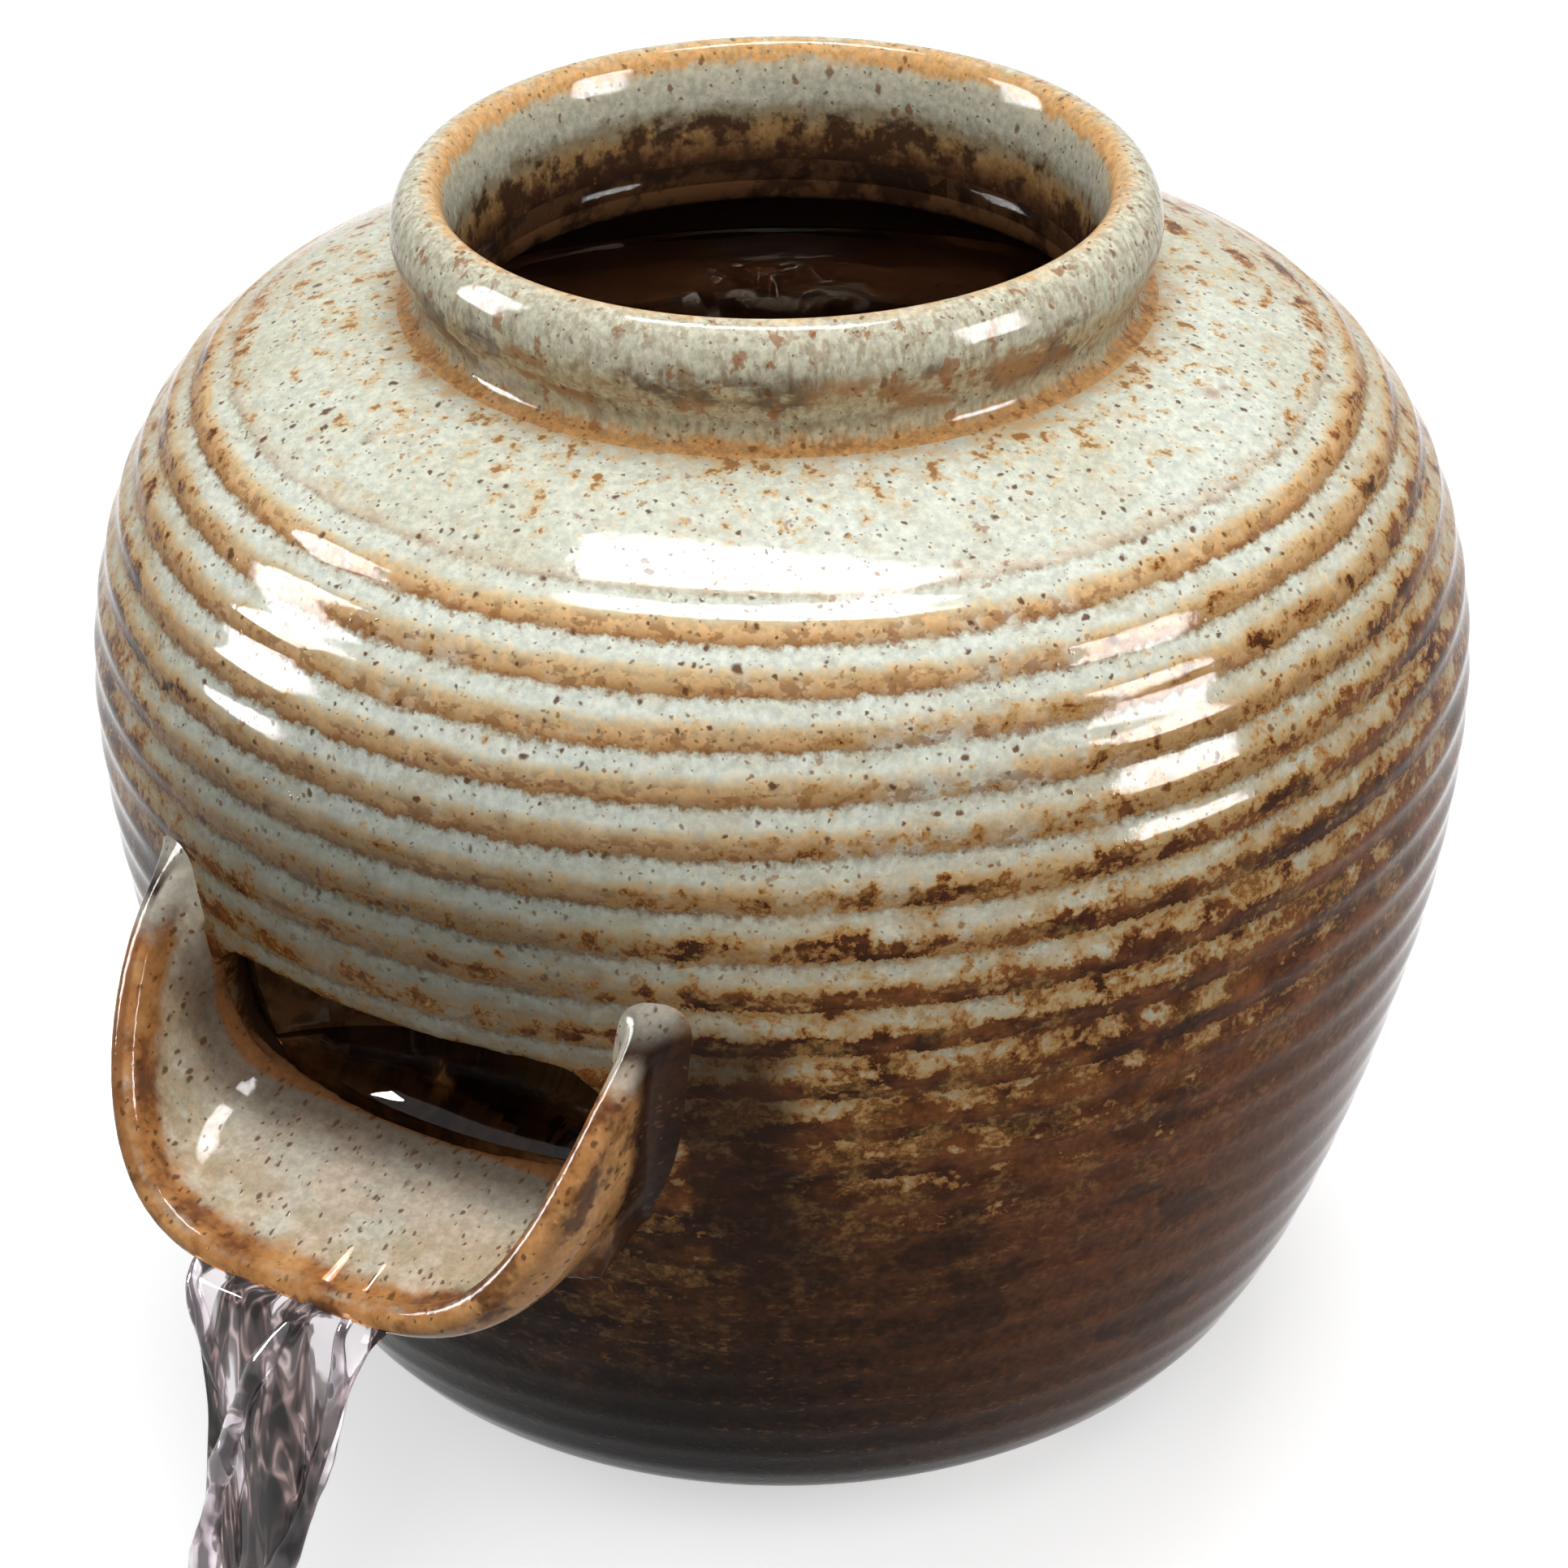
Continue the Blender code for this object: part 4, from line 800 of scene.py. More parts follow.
print("jar glaze:", len(tree.nodes), "nodes")

# %% Throw the ribs and keep the plain mesh
grow_with(jar, ribs, jar_glaze, Relief=0.00044)
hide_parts("jar_body")
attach(jar, "fountain")
print("jar:", sum(len(face.vertices) - 2 for face in jar.data.polygons), "triangles")

# %% [markdown]
# ## The rolled rim
#
# The potter rolled the neck's edge outwards over a finger. The roll's outline is an ellipse, with a concave
# neck under it and a fillet of glaze where it meets the shoulder.

# %% Turn the rim
INNER_EDGE = (0.0381, 0.1497)
roll = smooth_curve([(0.036, 0.138), (0.0364, 0.142), (0.0368, 0.1455), (0.0373, 0.1478), INNER_EDGE,
                     (0.0394, 0.1506), (0.0411, 0.1502), (0.0425, 0.1488), (0.0434, 0.1468), (0.0436, 0.1446),
                     (0.0431, 0.1426), (0.0422, 0.1409), (0.0415, 0.1396), (0.0411, 0.1384), (0.0412, 0.1373),
                     (0.0418, 0.1366), (0.043, 0.1361), (0.044, 0.1352)], 6)
profile = np.vstack([roll, [(0.0436, 0.134), (0.038, 0.1338), (NECK_BORE, 0.134)]])
rim = add_object("glazed_rim", turned_mesh("glazed_rim", profile, AROUND))
lap = run_of(profile)
lap -= lap[np.argmin(np.hypot(*(profile - INNER_EDGE).T))]
lap[len(roll):] = (0.022, -0.015, -0.015)       # the hidden underside
keep_value(rim.data, "lap", np.tile(lap, AROUND))
print("rim:", len(rim.data.polygons), "faces; its top is at", round(roll[:, 1].max(), 4))

# %% Mix the rim's glaze: bands that follow the distance over the roll from its inner edge
rim_glaze, tree, shader = new_finish("celadon_rim_glaze", Specular_IOR_Level=GLOSS)
place = object_place(tree)
grain, grain_fine, cloud = noise(place, 0.003, 4, 0.62), noise(place, 0.001, 3, 0.65), noise(place, 0.011)
two_tones = rise(cloud, 0.42, 0.58)
# streaks run over the roll, so their noise is stretched in height
fur = noise(stretched(place, 1, 1, 0.3), 0.001, 3, 0.6)
at = centred(fur, 0.0012, centred(grain, 0.005, attribute(tree, "lap"))) * 25.0 + 0.4
bands = ramp(at, (0.05, (0.035, 0.017, 0.01)), (0.1, (0.12, 0.055, 0.024)), (0.17, (0.38, 0.22, 0.085)),
             (0.225, (0.34, 0.29, 0.19)), (0.265, (0.6, 0.58, 0.46)), (0.355, (0.64, 0.6, 0.45)),
             (0.385, (0.78, 0.42, 0.155)), (0.43, (0.7, 0.46, 0.23)), (0.475, (0.7, 0.68, 0.53)),
             (0.62, (0.66, 0.63, 0.47)), (0.68, (0.52, 0.4, 0.23)), (0.75, (0.6, 0.52, 0.36)),
             (0.8, (0.48, 0.46, 0.34)), (0.835, (0.56, 0.47, 0.3)), (0.865, (0.64, 0.34, 0.13)))
colour = tint(rise(fur, 0.47, 0.6) * (rise(at, 0.4, 0.5) * 0.46), bands,
              tint(two_tones, (0.34, 0.26, 0.15), (0.3, 0.165, 0.07)))
colour = mottled(colour, grain_fine, 0.8, 1.14)
blots = blobs(stretched(place, 0.6, 0.6, 1), 0.0055, 0.47, 0.57, 4, 0.65)
blots *= rise(at, 0.58, 0.67) * rise(at, 0.83, 0.75)
colour = tint(blots * 0.8, colour, tint(two_tones, (0.38, 0.175, 0.062), (0.115, 0.075, 0.052)))
mottle = blobs(place, 0.005, 0.43, 0.56, 4, 0.66) * rise(at, 0.235, 0.195)
colour = tint(mottle * 0.92, colour, (0.05, 0.023, 0.014))
ragged = shaken(place, SHAKE, 0.0012)
long_specks = stretched(ragged, 1, 1, 0.55)
iron = most(specks(ragged, 0.00104, 0.00028, 0.72), specks(long_specks, 0.0019, 0.0005, 0.52))
colour = tint(iron * 0.8, colour, (0.19, 0.08, 0.028))
rusty = blobs(long_specks, 0.0026, 0.59, 0.66, 3) * rise(at, 0.4, 0.47)
feed(shader["Base Color"], tint(rusty * 0.74, colour, RUST))
glaze_skin(tree, shader, fur * 0.35)
rim.data.materials.append(rim_glaze)
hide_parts("rolled_rim")
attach(rim, "fountain")
print("rim glaze:", len(tree.nodes), "nodes")

# %% [markdown]
# ## The pouring scoop
#
# The scoop was pulled from a slab and luted to the jar, with a fillet of clay worked into the joint.
# Distance fields make such a joint: two fields are blended where they are close to each other, as wet clay
# would be, and the surface is read off where the blend is zero.

# %% The scoop's rim and floor
SPOUT_HALF, SPOUT_WALL, SPOUT_EDGE = 0.034, 0.0048, 0.0015
SPOUT_REACH, SPOUT_ROOT, TROUGH_RADIUS = 0.09683, 0.06403, 0.07303
HORN_HEIGHT, LIP_HEIGHT, TROUGH_BACK = 0.0872, 0.0548, 0.063
TROUGH_LENGTH = SPOUT_REACH - TROUGH_RADIUS
TROUGH_FALL = (TROUGH_BACK - LIP_HEIGHT) / TROUGH_LENGTH
SQUARENESS = 0.54       # 1 would make the scoop's plan an ellipse


def trough_height(reach):
    return TROUGH_BACK - (reach - TROUGH_RADIUS) * TROUGH_FALL


def scoop_rim(count):
    """Evenly spaced (across, reach, height) of the scoop's rim, from one horn round the lip to the other."""
    turn = np.linspace(-math.pi / 2, math.pi / 2, 20001)
    across = SPOUT_HALF * np.sign(turn) * np.abs(np.sin(turn)) ** SQUARENESS
    reach = SPOUT_ROOT + (SPOUT_REACH - SPOUT_ROOT) * np.abs(np.cos(turn)) ** SQUARENESS
    share = np.maximum(0, (reach - TROUGH_RADIUS) / TROUGH_LENGTH)
    rim = np.stack([across, reach, HORN_HEIGHT - (HORN_HEIGHT - LIP_HEIGHT) * share ** 1.5], 1)
    run = run_of(rim)
    return read_off(rim, run, np.linspace(0, run[-1], count))


# %% A thin shell, which is later grown to the wall's full thickness with round edges
section = [(0.1, 0), (0.28, 0), (0.5, 0.005), (0.7, 0.045), (0.83, 0.16), (0.93, 0.48), (1, 1)]
plan, up = np.clip(smooth_curve(section, 5), 0, 1).T
edge = scoop_rim(121)
place = SPOUT_ROOT + (edge[:, 1:2] - SPOUT_ROOT) * plan
floor = trough_height(place) - SPOUT_WALL
skin = np.stack([edge[:, :1] * plan, -place, floor + (edge[:, 2:] - SPOUT_EDGE - floor) * up], -1)
normal = np.cross(np.gradient(skin, axis=0), np.gradient(skin, axis=1))
normal /= np.linalg.norm(normal, axis=2, keepdims=True) + 1e-12
if normal[60, 3, 2] < 0:        # the trough's floor has to face up
    normal = -normal
depth = (SPOUT_WALL - SPOUT_EDGE) - 0.0014 * up[None, :, None]
shell = np.stack([skin + normal * SPOUT_EDGE, skin + normal * depth])
number = numbered(shell)


def patch(grid):
    return np.stack([grid[:-1, :-1], grid[:-1, 1:], grid[1:, 1:], grid[1:, :-1]], -1).reshape(-1, 4)


quads = np.vstack([patch(number[0]), patch(number[1])[:, ::-1],
                   patch(number[:, 0]), patch(number[:, -1])[:, ::-1],
                   patch(number[:, :, 0])[:, ::-1], patch(number[:, :, -1])])
print("scoop shell:", len(quads), "quads")

# %% Distance fields of the scoop, the jar's face and the slot
VOXEL = 0.0005
GRID_LOW, GRID_SIZE = (-84, -212, 78), (169, 96, 118)
TABLE_CELL = 0.0004
voxels = openvdb.createLinearTransform(voxelSize=VOXEL)
field_of_scoop = openvdb.FloatGrid.createLevelSetFromPolygons(
    shell.reshape(-1, 3).astype(np.float32), quads=quads.astype(np.uint32), transform=voxels, halfWidth=20)
scoop = np.zeros(GRID_SIZE, np.float32)
field_of_scoop.copyToArray(scoop, ijk=GRID_LOW)
scoop = scoop.astype(float) - SPOUT_EDGE
axes = [(low + np.arange(size)) * VOXEL for low, size in zip(GRID_LOW, GRID_SIZE)]
x, y, z = np.meshgrid(*axes, indexing="ij")
reach = np.hypot(x, y)

r_axis, z_axis = np.arange(0.03, 0.116, TABLE_CELL), np.arange(0.03, 0.104, TABLE_CELL)
flat_r, flat_z = (part.ravel() for part in np.meshgrid(r_axis, z_axis, indexing="ij"))
_, flat_away, _ = jar_places(np.stack([flat_r, np.full_like(flat_r, AXIS_Y), flat_z], 1))
beyond = flat_r > np.interp(flat_z, OUTLINE[::-1, 1], OUTLINE[::-1, 0])
flat_away = np.where(beyond, flat_away, -flat_away).reshape(len(r_axis), len(z_axis))


def look_up(table, u, v):
    """Bilinear reading of a table at fractional places."""
    i, j = np.clip(u.astype(int), 0, table.shape[0] - 2), np.clip(v.astype(int), 0, table.shape[1] - 2)
    a, b = u - i, v - j
    return (table[i, j] * (1 - a) * (1 - b) + table[i + 1, j] * a * (1 - b)
            + table[i, j + 1] * (1 - a) * b + table[i + 1, j + 1] * a * b)


face = look_up(flat_away, (reach - r_axis[0]) / TABLE_CELL, (z - z_axis[0]) / TABLE_CELL)
print("fields sampled at", scoop.size, "points; deepest in the scoop", round(scoop.min() * 1000, 2), "mm")

# %% Blend the fields
FILLET, SOFT_EDGE, TONGUE_END = 0.006, 0.0012, 0.084


def soft_least(a, b, width):
    near = np.maximum(width - np.abs(a - b), 0) / width
    return np.minimum(a, b) - near ** 2 * width / 4


def soft_most(a, b, width):
    return -soft_least(-a, -b, width)


floor = trough_height(-y)
sideways = np.abs(x) - SLOT_HALF
# the scoop with its fillet, cut free of the slot and of the jar's wall
clay = np.maximum(soft_least(scoop, face + 0.0011, FILLET), scoop - 0.0052)
window = soft_most(sideways + 0.0002, soft_most(z - SLOT_TOP, floor - z, 0.002), 0.012)
window = np.maximum(window, face - 0.0045)
clay = soft_most(clay, -window, SOFT_EDGE)
clay = np.maximum(clay, -np.maximum(window - 0.0035, 0.0012 - scoop))
clay = np.maximum(clay, -(face + 0.0016))
# the trough's floor goes on through the slot as a tongue
tongue = soft_most(sideways - 0.001, soft_most(z - floor, floor - SPOUT_WALL - z, SOFT_EDGE), SOFT_EDGE)
tongue = np.maximum(tongue, soft_most(TROUGH_RADIUS - reach, reach - TONGUE_END, SOFT_EDGE))
clay = soft_least(clay, tongue, 0.0015)
behind = np.maximum(np.maximum(reach - TROUGH_RADIUS, floor - 0.005 - z), sideways - 0.0012)
clay = soft_most(clay, -behind, SOFT_EDGE)

# %% Read off the scoop's surface
merged = openvdb.FloatGrid(0.01)
merged.copyFromArray(clay.astype(np.float32), ijk=GRID_LOW)
merged.transform = voxels
points, faces = merged.convertToQuads(isovalue=0.0)
points = np.asarray(points, float) + (0, AXIS_Y, 0)
spout = add_object("glazed_scoop", mesh_of("glazed_scoop", points, np.asarray(faces, int)))
bm = bmesh.new()
bm.from_mesh(spout.data)
relax(bm, bm.verts, 2)
bmesh.ops.recalc_face_normals(bm, faces=bm.faces)
print("open edges of the scoop:", sum(not item.is_manifold for item in bm.edges))
bm.to_mesh(spout.data)
bm.free()

# %% Tell the scoop's points how far they are from the rim, and which side they are on
RIM_SHARE = 0.93        # the middle of the rim's thickness, as a share of its outer line
points, _, off_jar, _ = keep_flow(spout.data)
line = scoop_rim(240)
rim_line = np.stack([line[:, 0] * RIM_SHARE, AXIS_Y - SPOUT_ROOT - (line[:, 1] - SPOUT_ROOT) * RIM_SHARE,
                     line[:, 2]], 1)
to_rim = np.full(len(points), 1.0)
for one in rim_line:
    to_rim = np.minimum(to_rim, np.linalg.norm(points - one, axis=1))
aim = np.array([0, AXIS_Y - 0.076, 0.08]) - points
inside = (read_vectors(spout.data, "normal") * aim).sum(1) / np.linalg.norm(aim, axis=1)
keep_value(spout.data, "on_jar", np.clip(1.25 - off_jar / 0.006, 0, 1) * (np.abs(points[:, 0]) > SLOT_HALF))
keep_value(spout.data, "to_rim", to_rim)
keep_value(spout.data, "inside", inside)
print("scoop:", len(spout.data.polygons), "faces, box", points.min(0).round(4), points.max(0).round(4))

# %% [markdown]
# ## The scoop's glaze
#
# The rim of the scoop broke to orange, the trough is a pale celadon that darkens where water runs, and the
# outer walls are a brown that thins to orange towards the rim. The stored distance from the rim places the
# bands, so they follow the scoop's curve.

# %% Mix the scoop's glaze
spout_glaze, tree, shader = new_finish("celadon_scoop_glaze", Specular_IOR_Level=GLOSS)
place = object_place(tree)
x_here, y_here, z_here = split(place)
from_rim = attribute(tree, "to_rim")
grain, grain_fine = noise(place, 0.003, 4, 0.62), noise(place, 0.001, 3, 0.65)
blotch = noise(place, 0.0085, 4, 0.6)
within = rise(attribute(tree, "inside"), -0.05, 0.25)
outside = 1.0 - within
trough = tint(rise(blotch, 0.35, 0.65), (0.76, 0.62, 0.48), (0.7, 0.66, 0.53))
golden = rise(centred(grain, 0.008, from_rim), 0.014, 0.005) * blobs(place, 0.0052, 0.4, 0.56)
trough = tint(golden * 0.55, trough, (0.5, 0.34, 0.155))
wall = tint(rise(centred(grain, 0.01, from_rim), 0.005, 0.015), (0.78, 0.4, 0.155), (0.11, 0.044, 0.019))
wall = tint(rise(blotch, 0.5, 0.6) * 0.8, wall, (0.085, 0.034, 0.015))
colour = tint(within, wall, trough)
# the glaze broke to orange along the rim, brown where it ran thick, and pale on the horns' tips
band = rise(centred(grain, 0.0046, from_rim), 0.0038, 0.0016)
rim_colour = ramp(centred(grain_fine, 0.3, blotch), (0.34, (0.7, 0.38, 0.145)), (0.46, (0.52, 0.22, 0.066)),
                  (0.55, (0.25, 0.088, 0.027)), (0.66, (0.1, 0.036, 0.014)))
colour = tint(band * 0.95, colour, rim_colour)
colour = tint(outside * rise(x_here, -0.018, -0.03) * 0.6, colour, (0.2, 0.066, 0.028))
horn = rise(centred(grain, 0.006, z_here), 0.08, 0.085) * most(within, rise(from_rim, 0.0048, 0.0026))
colour = tint(horn * 0.85, colour, (0.64, 0.63, 0.53))
# painted shade on the lap, where the scoop's outer wall meets the jar
lap_shade = rise(centred(grain, 0.4, attribute(tree, "on_jar")), 0.15, 0.6) * outside
colour = tint(lap_shade * rise(z_here, 0.09, 0.085), colour,
              tint(rise(blotch, 0.42, 0.6), (0.06, 0.024, 0.011), (0.03, 0.013, 0.008)))
# where the trough meets the slot: painted shade darkens the back of the trough, and a thin line of brown
# glaze runs along its edge
back = y_here + (0.0755 - AXIS_Y)
behind = within * rise(reckon("ABSOLUTE", x_here), 0.031, 0.0285) * rise(z_here, 0.083, 0.076)
shadow = behind * rise(centred(grain, 0.004, back), -0.007, 0.0000)
colour = tint(shadow * 0.82, colour, (0.115, 0.078, 0.052))
colour = tint(behind * rise(back, 0.0008, 0.0018) * 0.85, colour, (0.3, 0.12, 0.036))
colour = mottled(colour, grain_fine, 0.84, 1.12)
# specks were drawn out by the water's path, towards the lip
drawn = stretched(shaken(place, SHAKE, 0.001), 1, 0.45, 0.7)
iron = most(specks(drawn, 0.0009, 0.00028, 0.82), specks(drawn, 0.0015, 0.00042, 0.66))
feed(shader["Base Color"], tint(iron * 0.84, colour, (0.14, 0.064, 0.026)))
glaze_skin(tree, shader, iron * 0.25)
spout.data.materials.append(spout_glaze)
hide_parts("pouring_spout")
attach(spout, "fountain")
print("scoop glaze:", len(tree.nodes), "nodes")

# %% [markdown]
# ## Water in the jar
#
# The chamber stands full to just over the weir's crest, and a little water lies in the pocket behind the
# slot. Each is a closed solid with water's own refractive index, so that its surface mirrors and bends
# light as real water does.

# %% Fill the chamber and the pocket
WEIR_RADIUS, WEIR_CENTRE, WEIR_WALL = 0.0385, 0.086, 0.005
WATER_LEVEL, POCKET_LEVEL, RISER_ROOM = 0.113, 0.0622, 0.013
WATER_INDEX, THIN_GAP = 1.333, 0.0001
WATER_LOW = FLOOR_TOP + 0.0002
finish_water, tree, shader = new_finish("clear_water", Base_Color=(0.82, 0.74, 0.62), Roughness=0.015,
                                        IOR=WATER_INDEX, Transmission_Weight=1.0)
bumped(tree, shader, noise(object_place(tree), 0.016, 2), 0.35, 0.0012)


def water_solid(name, level, cuts):
    """Water inside the jar up to a level, cut by cylinders of (y, radius, operation)."""
    wall = inner_curve(level, WATER_LOW, 36, JAR_WALL + THIN_GAP)[::-1]
    wall[0, 1], wall[-1, 1] = WATER_LOW, level
    shape = np.vstack([wall, [(0.003, level), (0.003, WATER_LOW)]])
    solid = add_object(name, turned_mesh(name, shape[::-1], 160))
    cutters = []
    for y, radius, operation in cuts:
        bm = bmesh.new()
        bmesh.ops.create_cone(bm, cap_ends=True, segments=96, radius1=radius, radius2=radius, depth=0.2,
                              matrix=Matrix.Translation((0, y, 0.09)))
        cutters.append((mesh_from(bm, "cylinder"), operation))
    carve(solid, cutters)
    solid.data.materials.append(finish_water)
    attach(solid, "fountain")
    print(name, len(solid.data.polygons), "faces")


pocket_y = AXIS_Y - WEIR_CENTRE
water_solid("chamber_water", WATER_LEVEL, [(pocket_y, WEIR_RADIUS + THIN_GAP, "DIFFERENCE"),
                                           (AXIS_Y, RISER_ROOM, "DIFFERENCE")])
water_solid("pocket_water", POCKET_LEVEL, [(pocket_y, WEIR_RADIUS - WEIR_WALL - THIN_GAP, "INTERSECT")])

# %% [markdown]
# ## Running water
#
# Water crosses the lip as a thin sheet and falls. As it speeds up the sheet draws together, and cords of
# water wind round it. Both follow one path. The sheet is a closed skin of rings along it. The cords repeat,
# so Geometry Nodes copy the path once for each cord, wind each copy round the path and give it a round
# section.

# %% The water's path over the lip and down
FILM, LIP_WIDTH = 0.0012, 0.028
STREAM_WIDTH, STREAM_THICKNESS = 0.0095, 0.0056
DRIFT, SWAY, NARROWING, END_HEIGHT = 0.0062, -0.0085, 0.35, 0.0008
SHEET_START, CORD_START, LAST_ON_LIP = 0.0036, 0.011, 0.0022


def water_path(steps, start):
    """Even rows of (sway, reach, height, width, thickness, fall), from a distance before the lip's edge."""
    rows = []
    for back in np.linspace(start, LAST_ON_LIP, 8):
        reach = SPOUT_REACH - back
        rows.append((0, reach, trough_height(reach) - 0.0001, LIP_WIDTH, FILM, 0))
    rows.append((0, SPOUT_REACH + 0.0004, LIP_HEIGHT - 0.0008, LIP_WIDTH, FILM, 0))
    for share in np.linspace(0.03, 1, 90):
        narrow = math.exp(-share / NARROWING)
        rows.append((SWAY * share ** 2, SPOUT_REACH + FILM + DRIFT * math.sqrt(share),
                     LIP_HEIGHT - (LIP_HEIGHT - END_HEIGHT) * share,
                     STREAM_WIDTH + (LIP_WIDTH - STREAM_WIDTH) * narrow,
                     STREAM_THICKNESS + (2 * FILM - STREAM_THICKNESS) * narrow, share))
    rows = np.array(rows)
    run = run_of(rows[:, 1:3])
    rows = read_off(rows, run, np.linspace(0, run[-1], steps))
    for _ in range(4):
        rows[1:-1, 1:3] = (rows[:-2, 1:3] + 2 * rows[1:-1, 1:3] + rows[2:, 1:3]) / 4
    return rows


path = water_path(150, SHEET_START)
print("water falls", round((path[0, 2] - path[-1, 2]) * 1000, 1), "mm")

# %% The sheet
WATER_SIDES = 64
slope = np.gradient(path[:, 1:3], axis=0)
slope /= np.linalg.norm(slope, axis=1, keepdims=True)
side = np.linspace(0, 2 * np.pi, WATER_SIDES, endpoint=False)
thick = path[:, 4:5] * np.clip(np.arange(len(path)) / 8, 0.35, 1)[:, None] * 0.6
lift = thick / 2 * np.sin(side)
points = np.stack([path[:, :1] + path[:, 3:4] * 0.47 * np.cos(side),
                   AXIS_Y - (path[:, 1:2] - lift * slope[:, 1:2]),
                   path[:, 2:3] + lift * slope[:, :1]], -1)
points[:6, :, 2] -= (np.arange(6)[::-1] / 6 * 0.0016)[:, None]      # its start dives into the trough
mesh = solid_of_rings("running_water", points)
shade_smooth(mesh)
keep_value(mesh, "fall", np.repeat(path[:, 5], WATER_SIDES))
keep_value(mesh, "side", np.tile(side, len(path)))
water = add_object("running_water", mesh)
print("water sheet:", len(mesh.polygons), "faces")

# %% A tree for the sheet's folds
folds, given = new_tree("falling folds", ("Folds", 3.0), ("Twist", 0.7), ("Depth", 0.0013), ("Seed", 5))
fall = named(folds, "fall")
drawn = combined("MULTIPLY", step(folds, "GeometryNodeInputPosition", 0), (1.0, 1.0, 0.3))
wavy = seeded_noise(drawn, 165, given["Seed"])
angle = fall * (given["Twist"] * math.tau) + named(folds, "side") * given["Folds"] + wavy * 5.0
height = reckon("SINE", angle) * 0.5 + (wavy * 1.6 - 0.8)
height = height * given["Depth"] * graded(fall, 0.0, 0.25, 0.15)
end_tree(moved(given["Geometry"], scaled(step(folds, "GeometryNodeInputNormal", 0), height)), given)

# %% A tree for the cords
cords, given = new_tree("falling cords", ("Cords", 3), ("Turns", 0.38), ("Thickness", 0.00125), ("Seed", 3))
curve = step(cords, "GeometryNodeMeshToCurve", "Curve", {"Mesh": given["Geometry"]})
copies = put(cords, "GeometryNodeDuplicateElements", {"Geometry": curve, "Amount": given["Cords"]},
             domain="SPLINE").outputs
index = Wire(copies["Duplicate Index"])
lot = step(cords, "FunctionNodeRandomValue", 1, {"ID": index, "Seed": given["Seed"]}, data_type="FLOAT")
phase = (lot * 0.7 + index) / given["Cords"]
angle = (named(cords, "fall") * given["Turns"] + phase) * math.tau
shift = step(cords, "ShaderNodeCombineXYZ", 0, {"X": reckon("COSINE", angle) * (named(cords, "width") * 0.45),
                                                "Y": reckon("SINE", angle) * named(cords, "depth") * -0.42})
bulge = seeded_noise(step(cords, "GeometryNodeInputPosition", 0), 140, index * 3.7)
radius = (bulge * 1.8 + 0.1) * (given["Thickness"] * named(cords, "swell"))
sized = step(cords, "GeometryNodeSetCurveRadius", 0,
             {"Curve": moved(Wire(copies["Geometry"]), shift), "Radius": radius})
section = step(cords, "GeometryNodeCurvePrimitiveCircle", 0, {"Resolution": 10, "Radius": 1.0})
end_tree(step(cords, "GeometryNodeCurveToMesh", 0,
              {"Curve": sized, "Profile Curve": section, "Fill Caps": True, "Scale": radius}), given)

# %% [markdown]
# ## The look of falling water
#
# Clear water has no colour of its own. What makes it look dark and bright in streaks is what each fold
# bends into view. Long streaks of tint are painted reflection: they stand in for the dark studio that the
# real folds saw. The lamps give the bright glints, and a painted highlight lightens the sheet near the lip.

# %% Finish the water
stream_look, tree, shader = new_finish("running_water", Roughness=0.03, IOR=WATER_INDEX,
                                       Transmission_Weight=1.0)
place = object_place(tree)
# near the lip the streaks lean towards clear white: a painted highlight on the water crossing the lip
lip_highlight = rise(split(place)[2], 0.04, 0.056)
streaks = noise(stretched(place, 1, 1, 0.22), 0.0044, 2, 0.5, 0.9)
feed(shader["Base Color"], ramp(lip_highlight * 0.06 + streaks, (0.38, (0.006, 0.005, 0.005)),
                                (0.46, (0.02, 0.015, 0.014)), (0.5, (0.42, 0.3, 0.28)),
                                (0.53, (0.04, 0.03, 0.03)), (0.57, (0.12, 0.09, 0.09)),
                                (0.6, (0.97, 0.92, 0.95))))
cord_look, tree, shader = new_finish("clear_cords", Roughness=0.02, IOR=WATER_INDEX, Transmission_Weight=0.9)
streaks = noise(stretched(object_place(tree), 1, 1, 0.3), 0.003, 2)
feed(shader["Base Color"], ramp(streaks, (0.38, (0.06, 0.05, 0.05)), (0.46, (0.7, 0.62, 0.66)),
                                (0.56, (1.0, 0.98, 1.0))))

# %% Make the water run
grow_with(water, folds, stream_look)
path = water_path(110, CORD_START)
fall = path[:, 5]
mesh = bpy.data.meshes.new("water_cords")
mesh.from_pydata(np.stack([path[:, 0], AXIS_Y - path[:, 1], path[:, 2]], 1).tolist(),
                 [(i, i + 1) for i in range(len(path) - 1)], [])
keep_value(mesh, "fall", fall)
keep_value(mesh, "width", path[:, 3])
keep_value(mesh, "depth", path[:, 4] * np.clip(fall * 6, 0, 1))
keep_value(mesh, "swell", np.clip(np.arange(len(path)) / 22, 0.15, 1) * (0.75 + 0.75 * fall))
water_cords = add_object("water_cords", mesh)
grow_with(water_cords, cords, cord_look)
for item in (water, water_cords):
    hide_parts("falling_water")
    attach(item, "fountain")
    print(item.name, len(item.data.polygons), "faces")

# %% [markdown]
# ## Weir, pump, tube and rubber
#
# The rest keeps its exact CAD shape and gets a finish: the weir the jar's inner glaze, the pump a moulded
# plastic with a fine texture, the tube clear vinyl, and rubber, sponge, magnet and shaft their own.

# %% Finishes of the inner pieces


def moulded(name, colour, worn, roughness, grain_size=0.0006, depth=0.00006):
    made, tree, shader = new_finish(name)
    place = object_place(tree)
    fine = noise(place, grain_size, 3, 0.6)
    feed(shader["Base Color"], tint(rise(noise(place, 0.009, 2), 0.35, 0.7), colour, worn))
    feed(shader["Roughness"], fine * 0.15 + (roughness - 0.07))
    bumped(tree, shader, fine, 0.5, depth)
    return made


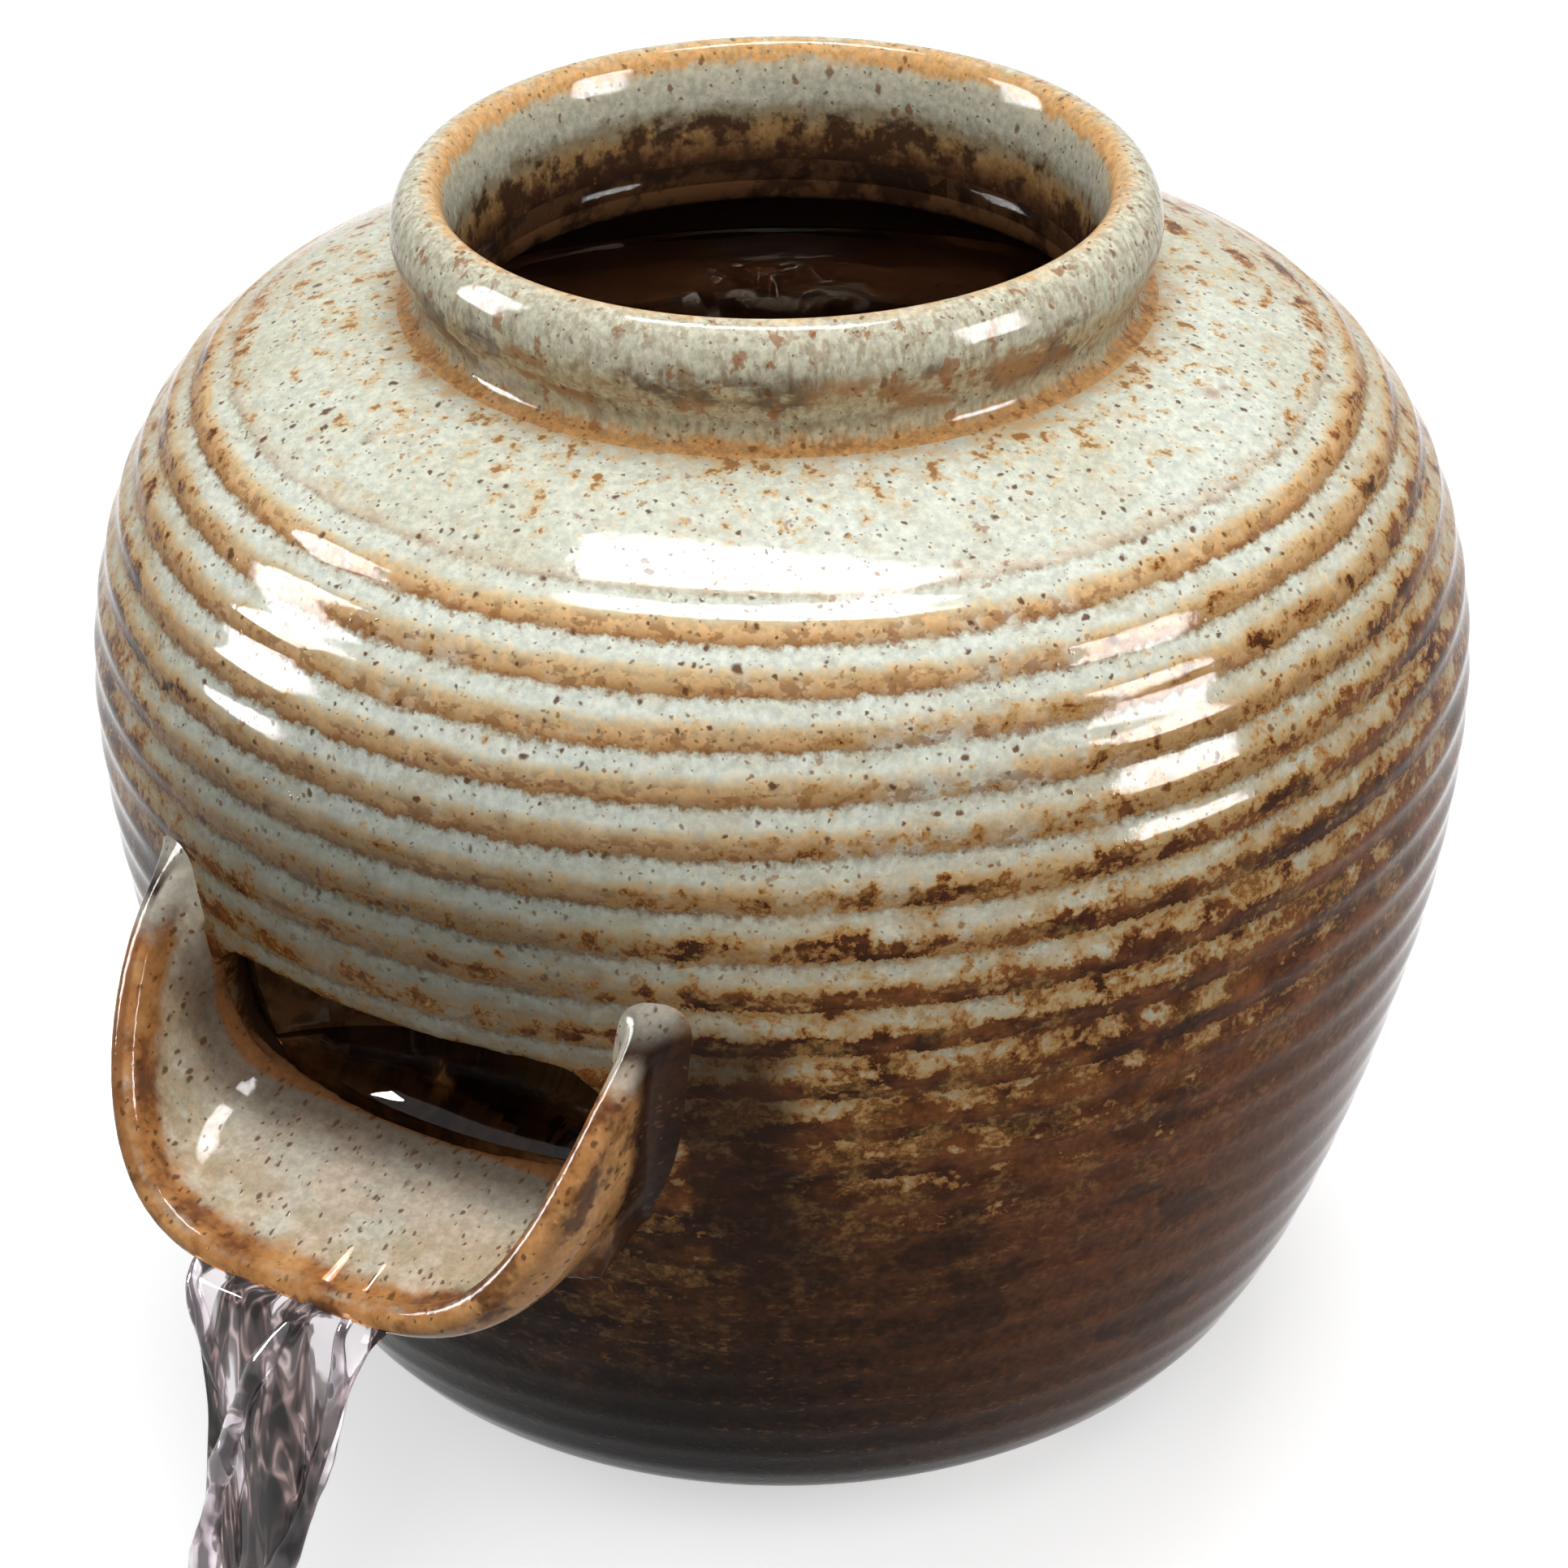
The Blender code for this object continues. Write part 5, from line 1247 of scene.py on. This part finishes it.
weir_glaze, tree, shader = new_finish("brown_inner_glaze", Specular_IOR_Level=0.25)
place = object_place(tree)
grain = noise(place, 0.003, 4, 0.6)
# painted light and shade on the weir: dark towards the left, lighter orange-brown towards the right
lit_to_right = rise(split(place)[0], -0.008, 0.014)
feed(shader["Base Color"], tint(rise(grain, 0.38, 0.62),
                                tint(lit_to_right, (0.16, 0.075, 0.032), (0.84, 0.46, 0.2)),
                                tint(lit_to_right, (0.07, 0.032, 0.015), (0.46, 0.22, 0.09))))
glaze_skin(tree, shader, grain, base=0.04)

vinyl, tree, shader = new_finish("clear_vinyl", Base_Color=(0.86, 0.9, 0.9), IOR=1.53,
                                 Transmission_Weight=0.9)
feed(shader["Roughness"], noise(object_place(tree), 0.004, 2) * 0.12 + 0.08)

rubber = moulded("black_rubber", (0.022, 0.022, 0.023), (0.03, 0.03, 0.031), 0.62)
plastic = moulded("black_pump_plastic", (0.018, 0.018, 0.019), (0.024, 0.024, 0.026), 0.38)
grey_plastic = moulded("grey_pump_plastic", (0.11, 0.11, 0.115), (0.13, 0.13, 0.135), 0.42)
ferrite = moulded("dark_ferrite", (0.05, 0.05, 0.055), (0.07, 0.07, 0.075), 0.4)
sponge = moulded("open_sponge", (0.035, 0.036, 0.04), (0.06, 0.062, 0.07), 0.92, 0.0011, 0.0006)
ceramic = moulded("white_shaft_ceramic", (0.72, 0.71, 0.67), (0.78, 0.77, 0.73), 0.2)

# %% Dress the inner pieces
looks = (
    (weir_glaze, "weir_wall"),
    (rubber, "floor_grommet chamber_seal suction_cup_1 suction_cup_2 suction_cup_3 suction_cup_4 cord_gland"),
    (plastic, "pump_housing pump_chamber_cover outlet_nozzle strainer_cover"),
    (grey_plastic, "flow_dial impeller"),
    (ferrite, "rotor_magnet"),
    (sponge, "filter_sponge"),
    (ceramic, "rotor_shaft shaft_bush_front shaft_bush_rear"),
    (vinyl, "riser_tube"),
)
for look, nodes in looks:
    for node in nodes.split():
        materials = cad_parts[node].data.materials
        materials.clear()
        materials.append(look)
    print(look.name, "dresses", nodes)

# %% [markdown]
# ## Floor and light
#
# The photograph has a plain white ground. The floor is white for the camera and in reflections, and a soft
# grey for light that bounces off it. Lamps stand left and right, overhead and above the camera. Three more
# are narrow and strong and show only as gleams in the glaze and the water, so that the clay is lit evenly.

# %% A white floor that keeps its shadow


def seen_straight(tree):
    """1 for rays from the camera, by reflection or through water, and 0 for light that bounces."""
    rays = {name: Wire(socket) for name, socket in put(tree, "ShaderNodeLightPath").outputs.items()}
    return most(most(rays["Is Camera Ray"], rays["Is Glossy Ray"]), rays["Is Transmission Ray"])


FLOOR_HALF, FLOOR_DROP = 2, 0.0002
corners = [(x * FLOOR_HALF, y * FLOOR_HALF, -FLOOR_DROP) for x, y in ((-1, -1), (1, -1), (1, 1), (-1, 1))]
floor = add_object("floor", mesh_of("floor", corners, [(0, 1, 2, 3)]))
white, tree, shader = new_finish("white_floor", Roughness=0.9, Specular_IOR_Level=0.0,
                                 Emission_Color=(1, 1, 1))
bright = seen_straight(tree)
feed(shader["Base Color"], tint(bright, (0.12, 0.12, 0.12), (0.8, 0.8, 0.8)))
feed(shader["Emission Strength"], bright * 0.55)
floor.data.materials.append(white)

world = bpy.data.worlds.new("studio")
scene.world = world
world.use_nodes = True
background = world.node_tree.nodes["Background"]
feed(background.inputs["Color"], tint(seen_straight(world.node_tree), (0.22, 0.22, 0.22), (1, 1, 1)))

# %% Lamps
MIDDLE = AXIS + Vector((0, 0, 0.09))


def soft_box(name, azimuth, elevation, distance, width, height, radiance, gleam=False, roll=0):
    """An area lamp that faces the jar. A gleam shows only in reflections and through water."""
    data = bpy.data.lights.new(name, "AREA")
    data.shape, data.size, data.size_y = "RECTANGLE", width, height
    data.energy = radiance * math.pi * width * height
    lamp = add_object(name, data)
    a, e = math.radians(azimuth), math.radians(elevation)
    away = Vector((math.sin(a) * math.cos(e), -math.cos(a) * math.cos(e), math.sin(e)))
    lamp.location = MIDDLE + away * distance
    lamp.rotation_mode = "QUATERNION"
    lamp.rotation_quaternion = away.to_track_quat("Z", "Y") @ Quaternion((0, 0, 1), math.radians(roll))
    lamp.visible_diffuse, lamp.visible_glossy, lamp.visible_transmission = not gleam, gleam, gleam
    lamp.visible_camera = False


soft_box("overhead", 200, 82, 1.1, 0.85, 0.85, 4.2)
soft_box("overhead_gleam", 230, 84, 1.04, 0.62, 0.25, 170.0, gleam=True, roll=-36)
soft_box("front_fill", 34, 42, 1.3, 0.9, 0.9, 2.2)
soft_box("left_box", -60, 18, 1.2, 0.48, 0.8, 1.4)
soft_box("left_gleam", -60, 21, 1.14, 0.34, 0.62, 150.0, gleam=True)
soft_box("right_box", 98, 17, 1.2, 0.52, 0.78, 1.8)
soft_box("right_gleam", 98, 18, 1.14, 0.4, 0.54, 190.0, gleam=True)
